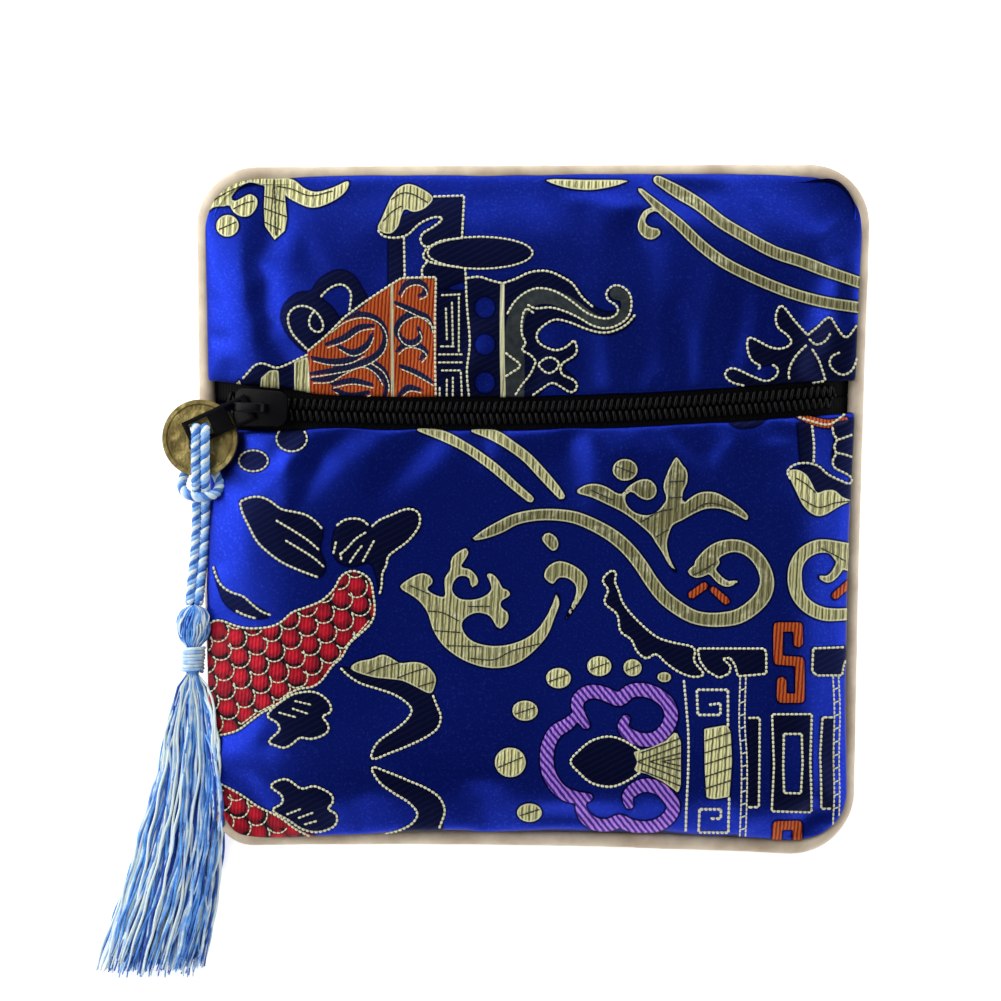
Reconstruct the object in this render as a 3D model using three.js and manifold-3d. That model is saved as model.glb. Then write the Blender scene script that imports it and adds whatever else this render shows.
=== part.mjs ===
// A flat brocade coin pouch, lying on its back: two front panels meet at a coil zipper, piping closes
// the seam round the back panel, and a brass coin and a tassel hang on a cord from the zipper's pull tab.
// Millimetres, +Z up. The origin is the centre of the back panel's flat resting face, +Y is the pouch's top.

import * as THREE from 'three';
import { mergeVertices } from 'three/addons/utils/BufferGeometryUtils.js';
import Module from 'manifold-3d';

const wasm = await Module();
wasm.setup();

// Pouch outline, measured over the piping
const pouchWidthTop = 116.4;
const pouchWidthBottom = 110.0;
const pouchHeight = 118.3;
const topTilt = 0.5;          // the top seam climbs by this much from left to right
const bottomTilt = 2.0;       // the bottom seam falls by this much from left to right
const cornerRadius = { topLeft: 10.3, topRight: 10.3, bottomRight: 11.0, bottomLeft: 7.0 };

// How far each side bows out at its middle, as a share of the pouch's height
const sideBow = { left: 0.006, right: -0.0035, top: 0.001, bottom: -0.01 };

// Cloth
const panelWall = 1.2;        // satin, padding and lining together
const frontRise = 6.6;        // how far the front stands above its seam
const pipingDiameter = 2.8;
const seamHeight = 3.2;       // the piping's centre above the resting face
const clearance = 0.3;        // air that neighbouring pieces keep
const rimInset = pipingDiameter + clearance;

// Zipper: its centre line is zipHeight + zipTilt * u + zipBow * u * u, u running from -1 to 1 across
const zipHeight = 16.6;
const zipTilt = 1.0;
const zipBow = 2.4;
const zipValley = 0.7;        // how far the cloth sinks beside the zipper
const zipValleyReach = 5.0;
const coilWidth = 2.0;        // one row of coil
const coilThickness = 2.1;
const coilPitch = 1.12;
const coilDent = 0.4;         // depth between two turns
const coilMeshGap = 0.15;     // between the two closed rows
const tapeThickness = 0.6;
const tapeReach = 8.0;        // from the centre line to the sewn edge under the cloth
const zipMargin = 0.55;       // bare tape between coil and cloth edge
const zipEndInset = 1.2;      // the coil stops this far inside the seam
const zipSpread = 0.9;        // how far each row stands off at the open left end

// Slider, with its length along the zipper
const sliderLength = 9.2;
const sliderFrontWidth = 6.7;
const sliderRearWidth = 5.8;
const sliderPlate = 0.9;
const sliderFromEnd = 8.4;    // from the left seam to the slider's middle
const crownLength = 5.4;
const crownWidth = 1.6;
const crownHeight = 2.7;
const crownWall = 0.8;

// Pull tab: a flat bar with a window round the crown and a long hole for the cord
const tabLength = 12.15;
const tabWidth = 4.6;
const tabThickness = 0.8;
const tabBar = 0.9;           // the bar under the crown
const tabWindow = 3.2;
const tabWindowWidth = 3.5;
const tabTip = 0.8;           // the bar between the hole and the tip
const tabHole = 3.8;
const tabHoleWidth = 3.1;
const tabLean = 24.5;         // degrees off the zipper, towards the coin
const tabDrop = 11.5;         // degrees below level

// Coin charm
const coinDiameter = 13.2;
const coinField = 0.7;
const coinRim = 1.0;
const coinRimWidth = 0.9;
const coinHole = 3.7;
const coinHoleBorder = 0.5;
const coinRelief = 0.12;
const coinTilt = 11.5;        // degrees, its right side up on the zipper
const coinFromEdge = 0.15;    // its centre inside the pouch's left outline
const coinBelowZip = 5.75;
const coinLevel = 7.9;        // its centre above the resting face

// Tassel
const strandDiameter = 1.55;
const tasselHeadLength = 7.2;
const tasselHeadWidth = 6.0;
const tasselNeckLength = 4.3;
const tasselNeckWidth = 2.2;
const tasselWrapWall = 0.6;
const tasselSkirtLength = 52.0;
const tasselSkirtWidth = 16.4;
const lockWidth = 3.4;
const lockThickness = 2.6;

// Mesh fineness
const panelColumns = 20;
const cornerRows = 4;
const tapeColumns = 16;
const ringSides = 8;
const tasselSides = 10;

const radians = THREE.MathUtils.degToRad;
const lerp = THREE.MathUtils.lerp;
const clamp01 = (value) => THREE.MathUtils.clamp(value, 0, 1);
const ease = (value) => clamp01(value) ** 2 * (3 - 2 * clamp01(value));

// The four sides of the outline, moved inwards by inset
const bow = (side, along) => sideBow[side] * pouchHeight * (1 - along * along);
const halfWidth = (y) => lerp(pouchWidthBottom, pouchWidthTop, y / pouchHeight + 0.5) / 2;
const leftSide = (y, inset) => -halfWidth(y) - bow('left', (2 * y) / pouchHeight) + inset;
const rightSide = (y, inset) => halfWidth(y) + bow('right', (2 * y) / pouchHeight) - inset;
const acrossShare = (x) => (2 * x) / pouchWidthTop;
const topSide = (x, inset) =>
  pouchHeight / 2 + (topTilt / 2) * acrossShare(x) + bow('top', acrossShare(x)) - inset;
const bottomSide = (x, inset) =>
  -pouchHeight / 2 - (bottomTilt / 2) * acrossShare(x) - bow('bottom', acrossShare(x)) + inset;

// How far a corner's arc cuts into a row that lies `off` from the horizontal side
function cornerCut(off, radius) {
  const down = Math.max(radius - Math.max(off, 0), 0);
  return radius - Math.sqrt(Math.max(radius * radius - down * down, 0));
}

function rowEnds(y, x, inset) {
  const above = topSide(x, inset) - y;
  const below = y - bottomSide(x, inset);
  const left = Math.max(cornerCut(above, cornerRadius.topLeft - inset),
    cornerCut(below, cornerRadius.bottomLeft - inset));
  const right = Math.max(cornerCut(above, cornerRadius.topRight - inset),
    cornerCut(below, cornerRadius.bottomRight - inset));
  return [leftSide(y, inset) + left, rightSide(y, inset) - right];
}

// A point of a panel: across runs from -1 to 1, along from 0 on the low edge to 1 on the high edge
function panelPlace(across, along, lowEdge, highEdge) {
  let x = across * halfWidth(0);
  let y = 0;
  for (let pass = 0; pass < 4; pass += 1) {
    y = lerp(lowEdge(x), highEdge(x), along);
    const [left, right] = rowEnds(y, x, rimInset);
    x = lerp(left, right, (across + 1) / 2);
  }
  return new THREE.Vector2(x, y);
}

// Zipper line, and the gap that opens left of the slider
const zipLine = (x) => zipHeight + zipTilt * acrossShare(x) + zipBow * acrossShare(x) ** 2;
const zipLeftEnd = leftSide(zipHeight, rimInset) + zipEndInset;
const zipRightEnd = rightSide(zipHeight, rimInset) - zipEndInset;
const sliderX = leftSide(zipHeight, rimInset) + sliderFromEnd;
const openness = (x) => zipSpread * clamp01((sliderX - x) / (sliderX - zipLeftEnd)) ** 2;
const coilOffset = (x) => coilMeshGap / 2 + coilWidth / 2 + openness(x);

// The cloth's edge follows the coil, and makes room for the slider
const bareEdge = (x) => coilOffset(x) + coilWidth / 2 + zipMargin;
const sliderRoom = clearance + Math.max(
  sliderFrontWidth / 2 - bareEdge(sliderX - sliderLength / 2),
  sliderRearWidth / 2 - bareEdge(sliderX + sliderLength / 2),
) + 0.1;
const clothOffset = (x) => bareEdge(x) + sliderRoom * ease((sliderX + sliderLength - x) / (sliderLength / 2));

// Main folds of the front, as shares: place from the centre, half length and half width of the pouch's
// half height, turn in degrees from the X axis, lift of the front's rise
const folds = [
  { across: -0.86, up: 0.60, long: 0.34, wide: 0.060, turn: 92, lift: 0.10 },
  { across: -0.75, up: 0.84, long: 0.13, wide: 0.050, turn: 72, lift: -0.13 },
  { across: -0.70, up: 0.14, long: 0.13, wide: 0.045, turn: 60, lift: 0.07 },
  { across: -0.86, up: -0.18, long: 0.24, wide: 0.055, turn: 86, lift: 0.09 },
  { across: 0.31, up: 0.77, long: 0.26, wide: 0.120, turn: 150, lift: -0.10 },
  { across: -0.16, up: 0.93, long: 0.10, wide: 0.045, turn: 80, lift: -0.08 },
  { across: -0.40, up: -0.50, long: 0.34, wide: 0.140, turn: 20, lift: -0.06 },
  { across: 0.72, up: -0.30, long: 0.30, wide: 0.120, turn: 75, lift: 0.05 },
];

function foldLift(x, y) {
  const half = pouchHeight / 2;
  let lift = 0;
  for (const fold of folds) {
    const dx = x / half - fold.across;
    const dy = y / half - fold.up;
    const turn = radians(fold.turn);
    const along = (dx * Math.cos(turn) + dy * Math.sin(turn)) / fold.long;
    const aside = (-dx * Math.sin(turn) + dy * Math.cos(turn)) / fold.wide;
    lift += fold.lift * Math.exp(-along * along - aside * aside);
  }
  return lift * frontRise;
}

// How puffed the pouch is at a place: 0 on the seam, 1 over its middle
const puff = (share) => Math.max(1 - Math.abs(share) ** 6, 0) ** 0.75;
function shareOf(x, y) {
  const [left, right] = rowEnds(y, x, rimInset);
  const low = bottomSide(x, rimInset);
  const high = topSide(x, rimInset);
  return [clampShare((2 * x - left - right) / (right - left)), clampShare((2 * y - low - high) / (high - low))];
}
function clampShare(value) {
  return THREE.MathUtils.clamp(value, -1, 1);
}

// Outer face of the front
function frontHeight(x, y) {
  const [across, up] = shareOf(x, y);
  const fullness = puff(across) * puff(up);
  const valley = zipValley * Math.exp(-(((y - zipLine(x)) / zipValleyReach) ** 2));
  const rimTop = seamHeight + clearance / 2 + panelWall;
  return rimTop + frontRise * fullness + (foldLift(x, y) - valley) * Math.min(1, 2 * fullness);
}

// Outer face of the back: flat on the table, lifting to the seam
function backHeight(x, y) {
  const [across, up] = shareOf(x, y);
  const flatness = ease((1 - Math.abs(across)) / 0.22) * ease((1 - Math.abs(up)) / 0.22);
  return (seamHeight - clearance / 2 - panelWall) * (1 - flatness);
}

// Places from -1 to 1, closer together towards the seams, where the cloth curves down
function endwiseShares(count) {
  return Array.from({ length: count + 1 }, (_, k) => {
    const even = (2 * k) / count - 1;
    return Math.sign(even) * (1 - (1 - Math.abs(even)) ** 1.5);
  });
}

// Closed geometry from its vertices and triangles
function closedGeometry(points, faces) {
  const geometry = new THREE.BufferGeometry();
  geometry.setAttribute('position', new THREE.Float32BufferAttribute(points.flatMap((p) => [p.x, p.y, p.z]), 3));
  geometry.setIndex(faces);
  return geometry;
}

// A wall between two grids of points, [column][row], columns running along +X and rows along +Y
function wall(upper, lower) {
  const columns = upper.length;
  const rows = upper[0].length;
  const points = [...upper.flat(), ...lower.flat()];
  const at = (layer, i, j) => layer * columns * rows + i * rows + j;
  const faces = [];
  const quad = (a, b, c, d) => faces.push(a, b, c, a, c, d);
  for (let i = 0; i < columns - 1; i += 1) {
    for (let j = 0; j < rows - 1; j += 1) {
      quad(at(0, i, j), at(0, i + 1, j), at(0, i + 1, j + 1), at(0, i, j + 1));
      quad(at(1, i, j), at(1, i, j + 1), at(1, i + 1, j + 1), at(1, i + 1, j));
    }
    quad(at(1, i, 0), at(1, i + 1, 0), at(0, i + 1, 0), at(0, i, 0));
    quad(at(0, i, rows - 1), at(0, i + 1, rows - 1), at(1, i + 1, rows - 1), at(1, i, rows - 1));
  }
  for (let j = 0; j < rows - 1; j += 1) {
    quad(at(0, 0, j), at(0, 0, j + 1), at(1, 0, j + 1), at(1, 0, j));
    quad(at(1, columns - 1, j), at(1, columns - 1, j + 1), at(0, columns - 1, j + 1), at(0, columns - 1, j));
  }
  return closedGeometry(points, faces);
}

// A body through rings of points, each turning right-handed about the way it runs. Loops have no caps.
function loft(rings, isLoop = false) {
  const sides = rings[0].length;
  const points = rings.flat();
  const faces = [];
  const steps = isLoop ? rings.length : rings.length - 1;
  for (let i = 0; i < steps; i += 1) {
    const here = i * sides;
    const next = ((i + 1) % rings.length) * sides;
    for (let k = 0; k < sides; k += 1) {
      const after = (k + 1) % sides;
      faces.push(here + k, here + after, next + after, here + k, next + after, next + k);
    }
  }
  if (!isLoop) {
    const last = (rings.length - 1) * sides;
    for (let k = 1; k < sides - 1; k += 1) {
      faces.push(0, k + 1, k, last, last + k, last + k + 1);
    }
  }
  return closedGeometry(points, faces);
}

function asSolid(geometry) {
  const bare = geometry.clone();
  bare.deleteAttribute('normal');
  bare.deleteAttribute('uv');
  const merged = mergeVertices(bare, 1e-4);
  return new wasm.Manifold(new wasm.Mesh({
    numProp: 3,
    vertProperties: new Float32Array(merged.attributes.position.array),
    triVerts: new Uint32Array(merged.index.array),
  }));
}

function asGeometry(solid) {
  const mesh = solid.getMesh();
  const geometry = new THREE.BufferGeometry();
  geometry.setAttribute('position', new THREE.BufferAttribute(new Float32Array(mesh.vertProperties), 3));
  geometry.setIndex([...mesh.triVerts]);
  return geometry;
}

const paint = (color, roughness, metalness) => new THREE.MeshStandardMaterial({ color, roughness, metalness });
const satin = paint(0x10209a, 0.35, 0);
const pipingSatin = paint(0xdfccb4, 0.45, 0);
const blackNylon = paint(0x0b0b0d, 0.45, 0);
const blackEnamel = paint(0x0a0a0b, 0.3, 0.4);
const oldBrass = paint(0x8f7b3f, 0.42, 0.9);
const blueSilk = paint(0x6faae6, 0.4, 0);

const pouch = new THREE.Group();
function addPiece(name, geometry, material) {
  const piece = new THREE.Mesh(geometry, material);
  piece.name = name;
  pouch.add(piece);
  return piece;
}

// Panels: rows are closer where the corners are round
function rowShares(length, lowRadius, highRadius, middleRows) {
  const arc = (radius) => Array.from({ length: cornerRows }, (_, k) =>
    (radius / length) * (1 - Math.cos((k / cornerRows) * (Math.PI / 2))));
  const low = lowRadius > 0 ? arc(lowRadius) : [];
  const high = highRadius > 0 ? arc(highRadius).map((share) => 1 - share).reverse() : [];
  const from = lowRadius / length;
  const to = 1 - highRadius / length;
  const middle = Array.from({ length: middleRows + 1 }, (_, k) => lerp(from, to, k / middleRows));
  return [...low, ...middle, ...high];
}

function panelGrid(rows, lowEdge, highEdge, height) {
  return endwiseShares(panelColumns).map((across) => rows.map((along) => {
    const place = panelPlace(across, along, lowEdge, highEdge);
    return new THREE.Vector3(place.x, place.y, height(place.x, place.y));
  }));
}

const topRim = (x) => topSide(x, rimInset);
const bottomRim = (x) => bottomSide(x, rimInset);
const highRadius = Math.max(cornerRadius.topLeft, cornerRadius.topRight) - rimInset;
const lowRadius = Math.max(cornerRadius.bottomLeft, cornerRadius.bottomRight) - rimInset;
const upperLength = pouchHeight / 2 - rimInset - zipHeight;
const lowerLength = pouchHeight / 2 - rimInset + zipHeight;

function addFrontPanel(name, rows, lowEdge, highEdge) {
  const outer = panelGrid(rows, lowEdge, highEdge, frontHeight);
  const inner = panelGrid(rows, lowEdge, highEdge, (x, y) => frontHeight(x, y) - panelWall);
  addPiece(name, wall(outer, inner), satin);
}
addFrontPanel('front_panel_upper', rowShares(upperLength, 0, highRadius, 6),
  (x) => zipLine(x) + clothOffset(x), topRim);
addFrontPanel('front_panel_lower', rowShares(lowerLength, lowRadius, 0, 11),
  bottomRim, (x) => zipLine(x) - clothOffset(x));

const backRows = rowShares(upperLength + lowerLength, lowRadius, highRadius, 8);
addPiece('back_panel', wall(
  panelGrid(backRows, bottomRim, topRim, (x, y) => backHeight(x, y) + panelWall),
  panelGrid(backRows, bottomRim, topRim, backHeight),
), satin);

// Piping: one closed round cord in bias satin, along the outline
function outlineLoop(inset, sideSteps, arcSteps) {
  const loop = [];
  const corners = [
    { name: 'bottomRight', right: true, top: false },
    { name: 'topRight', right: true, top: true },
    { name: 'topLeft', right: false, top: true },
    { name: 'bottomLeft', right: false, top: false },
  ];
  const arcs = corners.map(({ name, right, top }, index) => {
    const radius = cornerRadius[name] - inset;
    const y0 = (top ? 1 : -1) * (pouchHeight / 2 - cornerRadius[name]);
    const x0 = right ? rightSide(y0, inset) - radius : leftSide(y0, inset) + radius;
    const centreY = top ? topSide(x0, inset) - radius : bottomSide(x0, inset) + radius;
    return Array.from({ length: arcSteps + 1 }, (_, k) => {
      const turn = (index - 1 + k / arcSteps) * (Math.PI / 2);
      return new THREE.Vector2(x0 + radius * Math.cos(turn), centreY + radius * Math.sin(turn));
    });
  });
  arcs.forEach((arc, index) => {
    loop.push(...arc);
    const from = arc[arcSteps];
    const to = arcs[(index + 1) % 4][0];
    for (let k = 1; k < sideSteps; k += 1) {
      const x = lerp(from.x, to.x, k / sideSteps);
      const y = lerp(from.y, to.y, k / sideSteps);
      const place = [[rightSide(y, inset), y], [x, topSide(x, inset)], [leftSide(y, inset), y],
        [x, bottomSide(x, inset)]][index];
      loop.push(new THREE.Vector2(...place));
    }
  });
  return loop;
}

const pipingPath = outlineLoop(pipingDiameter / 2, 9, 6);
const pipingRings = pipingPath.map((place, index) => {
  const ahead = pipingPath[(index + 1) % pipingPath.length];
  const behind = pipingPath[(index + pipingPath.length - 1) % pipingPath.length];
  const way = ahead.clone().sub(behind).normalize();
  return Array.from({ length: ringSides }, (_, k) => {
    const turn = (2 * Math.PI * (k + 0.5)) / ringSides;
    const aside = (pipingDiameter / 2) * Math.cos(turn);
    return new THREE.Vector3(place.x + aside * way.y, place.y - aside * way.x,
      seamHeight - (pipingDiameter / 2) * Math.sin(turn));
  });
});
addPiece('piping', loft(pipingRings, true), pipingSatin);

// Zipper: two woven tapes under the cloth, each with a row of coil
const tapeTop = (x, y) => frontHeight(x, y) - panelWall - clearance;
const coilBase = (x, side) => tapeTop(x, zipLine(x) + side * coilOffset(x)) + clearance;

function tapeGrid(side, lower, grow = 0) {
  const near = (x) => coilOffset(x) - coilWidth / 2 - grow;
  const offsets = [near, coilOffset, clothOffset, () => tapeReach + grow];
  const columns = endwiseShares(tapeColumns).map((share) =>
    lerp(zipLeftEnd - grow, zipRightEnd, (share + 1) / 2));
  return columns.map((x) => {
    const places = offsets.map((offset) => zipLine(x) + side * offset(x));
    if (side < 0) places.reverse();
    return places.map((y) => new THREE.Vector3(x, y, tapeTop(x, y) + (lower ? -tapeThickness - grow : grow)));
  });
}

function coilRings(side, from, to, steps, grow, hasTurns) {
  return Array.from({ length: steps + 1 }, (_, k) => {
    const x = lerp(from, to, k / steps);
    const dent = hasTurns && k % 2 === 1 ? coilDent : 0;
    const middle = zipLine(x) + side * coilOffset(x);
    const half = coilWidth / 2 + grow;
    const floor = coilBase(x, side) - grow;
    const height = coilThickness + 2 * grow - dent;
    const inward = side * (half - dent / 2);
    const outward = side * half;
    const section = [
      [middle - inward, floor], [middle + outward, floor],
      [middle + outward * 0.75, floor + height], [middle - inward * 0.75, floor + height],
    ];
    if (side < 0) section.reverse();
    return section.map(([y, z]) => new THREE.Vector3(x, y, z));
  });
}

const coilTurns = Math.round((zipRightEnd - zipLeftEnd) / coilPitch);
for (const [name, side] of [['upper', 1], ['lower', -1]]) {
  addPiece(`zipper_tape_${name}`, wall(tapeGrid(side, false), tapeGrid(side, true)), blackNylon);
  addPiece(`zipper_coil_${name}`, loft(coilRings(side, zipLeftEnd, zipRightEnd, 2 * coilTurns, 0, true)), blackNylon);
}

// Slider: two plates round the coil, joined by the wedge that parts the rows, with a crown on top
const sliderFrame = new THREE.Matrix4();
const sliderBase = coilBase(sliderX, 1);
{
  const reach = sliderLength / 2;
  const away = new THREE.Vector3(2 * reach, zipLine(sliderX + reach) - zipLine(sliderX - reach),
    coilBase(sliderX + reach, 1) - coilBase(sliderX - reach, 1)).normalize();
  const aside = new THREE.Vector3(0, 0, 1).cross(away).normalize();
  sliderFrame.makeBasis(away, aside, away.clone().cross(aside));
  sliderFrame.setPosition(sliderX, zipLine(sliderX), sliderBase);
}
const sliderFloor = -2 * clearance - tapeThickness - sliderPlate;
const sliderTop = coilThickness + clearance + sliderPlate;

function sliderBlock() {
  const half = sliderLength / 2;
  const corner = sliderRearWidth / 5;
  const shape = new THREE.Shape();
  shape.moveTo(-half + corner, -sliderFrontWidth / 2);
  shape.lineTo(half - corner, -sliderRearWidth / 2);
  shape.quadraticCurveTo(half, -sliderRearWidth / 2, half, -sliderRearWidth / 2 + corner);
  shape.lineTo(half, sliderRearWidth / 2 - corner);
  shape.quadraticCurveTo(half, sliderRearWidth / 2, half - corner, sliderRearWidth / 2);
  shape.lineTo(-half + corner, sliderFrontWidth / 2);
  shape.quadraticCurveTo(-half, sliderFrontWidth / 2, -half, sliderFrontWidth / 2 - corner);
  shape.lineTo(-half, -sliderFrontWidth / 2 + corner);
  shape.quadraticCurveTo(-half, -sliderFrontWidth / 2, -half + corner, -sliderFrontWidth / 2);
  const block = new THREE.ExtrudeGeometry(shape, { depth: sliderTop - sliderFloor, bevelEnabled: false, curveSegments: 4 });
  return block.translate(0, 0, sliderFloor);
}

const crownRear = sliderLength / 2 - 3.4;
function crownArch() {
  const top = crownHeight;
  const rear = crownRear;
  const front = rear - crownLength;
  const shape = new THREE.Shape();
  shape.moveTo(front, -sliderPlate / 2);
  shape.lineTo(front, top * 0.55);
  shape.quadraticCurveTo(front, top, front + top * 0.6, top);
  shape.lineTo(rear - top * 0.6, top);
  shape.quadraticCurveTo(rear, top, rear, top * 0.55);
  shape.lineTo(rear, -sliderPlate / 2);
  shape.lineTo(rear - crownWall, -sliderPlate / 2);
  shape.lineTo(rear - crownWall, (top - crownWall) * 0.7);
  shape.lineTo(rear - 1.6 * crownWall, top - crownWall);
  shape.lineTo(front + 1.6 * crownWall, top - crownWall);
  shape.lineTo(front + crownWall, (top - crownWall) * 0.7);
  shape.lineTo(front + crownWall, -sliderPlate / 2);
  const arch = new THREE.ExtrudeGeometry(shape, { depth: crownWidth, bevelEnabled: false, curveSegments: 4 });
  return arch.rotateX(Math.PI / 2).translate(0, crownWidth / 2, sliderTop);
}

function sliderGeometry() {
  const from = sliderX - sliderLength;
  const to = sliderX + sliderLength;
  let body = asSolid(sliderBlock().applyMatrix4(sliderFrame));
  for (const side of [1, -1]) {
    body = body.subtract(asSolid(loft(coilRings(side, from, to, 8, clearance, false))));
    body = body.subtract(asSolid(wall(tapeGrid(side, false, clearance), tapeGrid(side, true, clearance))));
  }
  return asGeometry(body.add(asSolid(crownArch().applyMatrix4(sliderFrame))));
}
addPiece('slider_body', sliderGeometry(), blackEnamel);

// Pull tab, hooked under the crown
function tabOutline(from, to, half, round) {
  const shape = new THREE.Shape();
  shape.moveTo(from, -half);
  shape.lineTo(to - round, -half);
  shape.quadraticCurveTo(to, -half, to, -half + round);
  shape.lineTo(to, half - round);
  shape.quadraticCurveTo(to, half, to - round, half);
  shape.lineTo(from, half);
  return shape;
}
function rectanglePath(from, to, half) {
  const path = new THREE.Path();
  path.moveTo(from, -half);
  path.lineTo(from, half);
  path.lineTo(to, half);
  path.lineTo(to, -half);
  path.closePath();
  return path;
}
const tabShape = tabOutline(-tabBar / 2, tabLength - tabBar / 2, tabWidth / 2, tabWidth / 5);
const holeEnd = tabLength - tabBar / 2 - tabTip;
tabShape.holes.push(rectanglePath(tabBar / 2, tabBar / 2 + tabWindow, tabWindowWidth / 2));
tabShape.holes.push(rectanglePath(holeEnd - tabHole, holeEnd, tabHoleWidth / 2));
const tabPivot = new THREE.Vector3(crownRear - crownLength + crownWall + 1.5 * tabBar, 0,
  sliderTop + (crownHeight - crownWall) / 2).applyMatrix4(sliderFrame);
const tab = addPiece('pull_tab', new THREE.ExtrudeGeometry(tabShape,
  { depth: tabThickness, bevelEnabled: false, curveSegments: 4 }).translate(0, 0, -tabThickness / 2), blackEnamel);
tab.rotation.set(0, radians(tabDrop), radians(180 + tabLean), 'ZYX');
tab.position.copy(tabPivot);

// Coin: a cast disc with a raised rim, a square hole in a raised frame and four worn raised marks
const coinCentre = new THREE.Vector3(
  leftSide(zipHeight - coinBelowZip, 0) + coinFromEdge,
  zipLine(leftSide(zipHeight, 0)) - coinBelowZip,
  coinLevel,
);
function coinGeometry() {
  const radius = coinDiameter / 2;
  const half = coinRim / 2;
  const field = coinField / 2;
  const profile = [[0, -field], [radius - coinRimWidth, -field], [radius - 0.75 * coinRimWidth, -half],
    [radius, -half * 0.8], [radius, half * 0.8], [radius - 0.75 * coinRimWidth, half],
    [radius - coinRimWidth, field], [0, field]];
  const disc = new THREE.LatheGeometry(profile.map(([r, z]) => new THREE.Vector2(r, z)), 30).rotateX(Math.PI / 2);
  let coin = asSolid(disc);
  const frame = coinHole + 2 * coinHoleBorder;
  coin = coin.add(asSolid(new THREE.BoxGeometry(frame, frame, coinRim)));
  const markPlace = (coinHole / 2 + coinHoleBorder + radius - coinRimWidth) / 2;
  for (let quarter = 0; quarter < 4; quarter += 1) {
    const mark = new THREE.CylinderGeometry(coinHole / 5, coinHole / 5, coinField + 2 * coinRelief, 8);
    mark.rotateX(Math.PI / 2).translate(markPlace, 0, 0).rotateZ((quarter * Math.PI) / 2);
    coin = coin.add(asSolid(mark));
  }
  return asGeometry(coin.subtract(asSolid(new THREE.BoxGeometry(coinHole, coinHole, 2 * coinRim))));
}
const coin = addPiece('coin', coinGeometry(), oldBrass);
coin.rotation.y = -radians(coinTilt);
coin.position.copy(coinCentre);

// Cord: one length of twisted silk, doubled. From the tassel it runs up over the coin, down through the
// tab's hole and the coin's, back behind the coin, and its bend crosses over the two standing strands.
// Each row is a place on the left and right strand, from the coin's centre and square to its tilted face:
// left, right, up, out.
const cordRoute = [
  [-1.85, -0.30, -28.45, -1.10],
  [-1.50, 0.05, -24.80, -1.50],
  [-1.05, 0.55, -20.20, -1.95],
  [-0.78, 0.86, -15.80, -2.12],
  [-0.70, 0.92, -12.80, -1.85],
  [-0.70, 0.92, -10.05, -0.95],
  [-0.70, 0.92, -8.20, 0.55],
  [-0.70, 0.92, -6.90, 1.45],
  [-0.70, 0.92, -5.40, 1.75],
  [-0.70, 0.92, -3.20, 2.20],
  [-0.64, 0.94, -0.95, 2.80],
  [-0.62, 0.96, 0.55, 3.00],
  [-0.62, 0.96, 1.50, 2.80],
  [-0.62, 0.96, 1.75, 1.85],
  [-0.62, 0.96, 1.00, 0.70],
  [-0.64, 0.96, 0.45, -0.35],
  [-0.80, 1.05, -0.40, -1.30],
  [-1.15, 1.35, -2.15, -1.70],
  [-1.80, 1.95, -4.25, -1.70],
  [-2.75, 2.70, -6.25, -1.55],
  [-3.25, 3.35, -7.85, -1.15],
  [-2.85, 3.00, -9.10, -0.20],
  [-1.80, 1.95, -9.85, 0.85],
  [0.10, 0.10, -10.15, 1.20],
];
const cordPlace = (aside, up, out) =>
  new THREE.Vector3(aside, up, out + aside * Math.tan(radians(coinTilt))).add(coinCentre);
const cordPoints = [
  ...cordRoute.map(([left, , up, out]) => cordPlace(left, up, out)),
  ...cordRoute.slice(0, -1).reverse().map(([, right, up, out]) => cordPlace(right, up, out)),
];
const strandSection = new THREE.Shape(Array.from({ length: ringSides }, (_, k) => {
  const turn = (2 * Math.PI * k) / ringSides;
  return new THREE.Vector2((strandDiameter / 2) * Math.cos(turn), (strandDiameter / 2) * Math.sin(turn));
}));
addPiece('cord', new THREE.ExtrudeGeometry(strandSection,
  { steps: 62, bevelEnabled: false, extrudePath: new THREE.CatmullRomCurve3(cordPoints, false, 'centripetal') }), blueSilk);

// Tassel: a ball head, a wound neck and a skirt of locks, hanging from the cord and lying down the side
const [strandLeft, strandRight, strandEnd, strandOut] = cordRoute[0];
const headTop = cordPlace((strandLeft + strandRight) / 2, strandEnd - clearance, strandOut);
const headRows = [
  { along: 0.0, wide: 0.22 }, { along: 0.12, wide: 0.66 }, { along: 0.32, wide: 0.95 },
  { along: 0.52, wide: 1.0 }, { along: 0.74, wide: 0.86 }, { along: 0.92, wide: 0.55 },
];
function roundRing(place, wide, high) {
  return Array.from({ length: tasselSides }, (_, k) => {
    const turn = (2 * Math.PI * k) / tasselSides;
    return new THREE.Vector3(place.x + wide * Math.cos(turn), place.y, place.z + high * Math.sin(turn));
  });
}
const neckStart = headTop.y - tasselHeadLength;
const neckEnd = neckStart - tasselNeckLength;
const neckSink = 1.1;         // the neck's lower end lies this much lower than the head
const headRadius = tasselHeadWidth / 2;
const headRings = headRows.map(({ along, wide }) => roundRing(
  new THREE.Vector3(headTop.x, headTop.y - along * tasselHeadLength, headTop.z), wide * headRadius, wide * headRadius));
const neckPlace = (y) => {
  const share = clamp01((neckStart - y) / tasselNeckLength);
  return new THREE.Vector3(headTop.x - 0.35 * share, y, headTop.z - neckSink * share);
};
for (const y of [neckStart, neckEnd, neckEnd - 1.5]) {
  headRings.push(roundRing(neckPlace(y), tasselNeckWidth / 2, tasselNeckWidth / 2));
}

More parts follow.
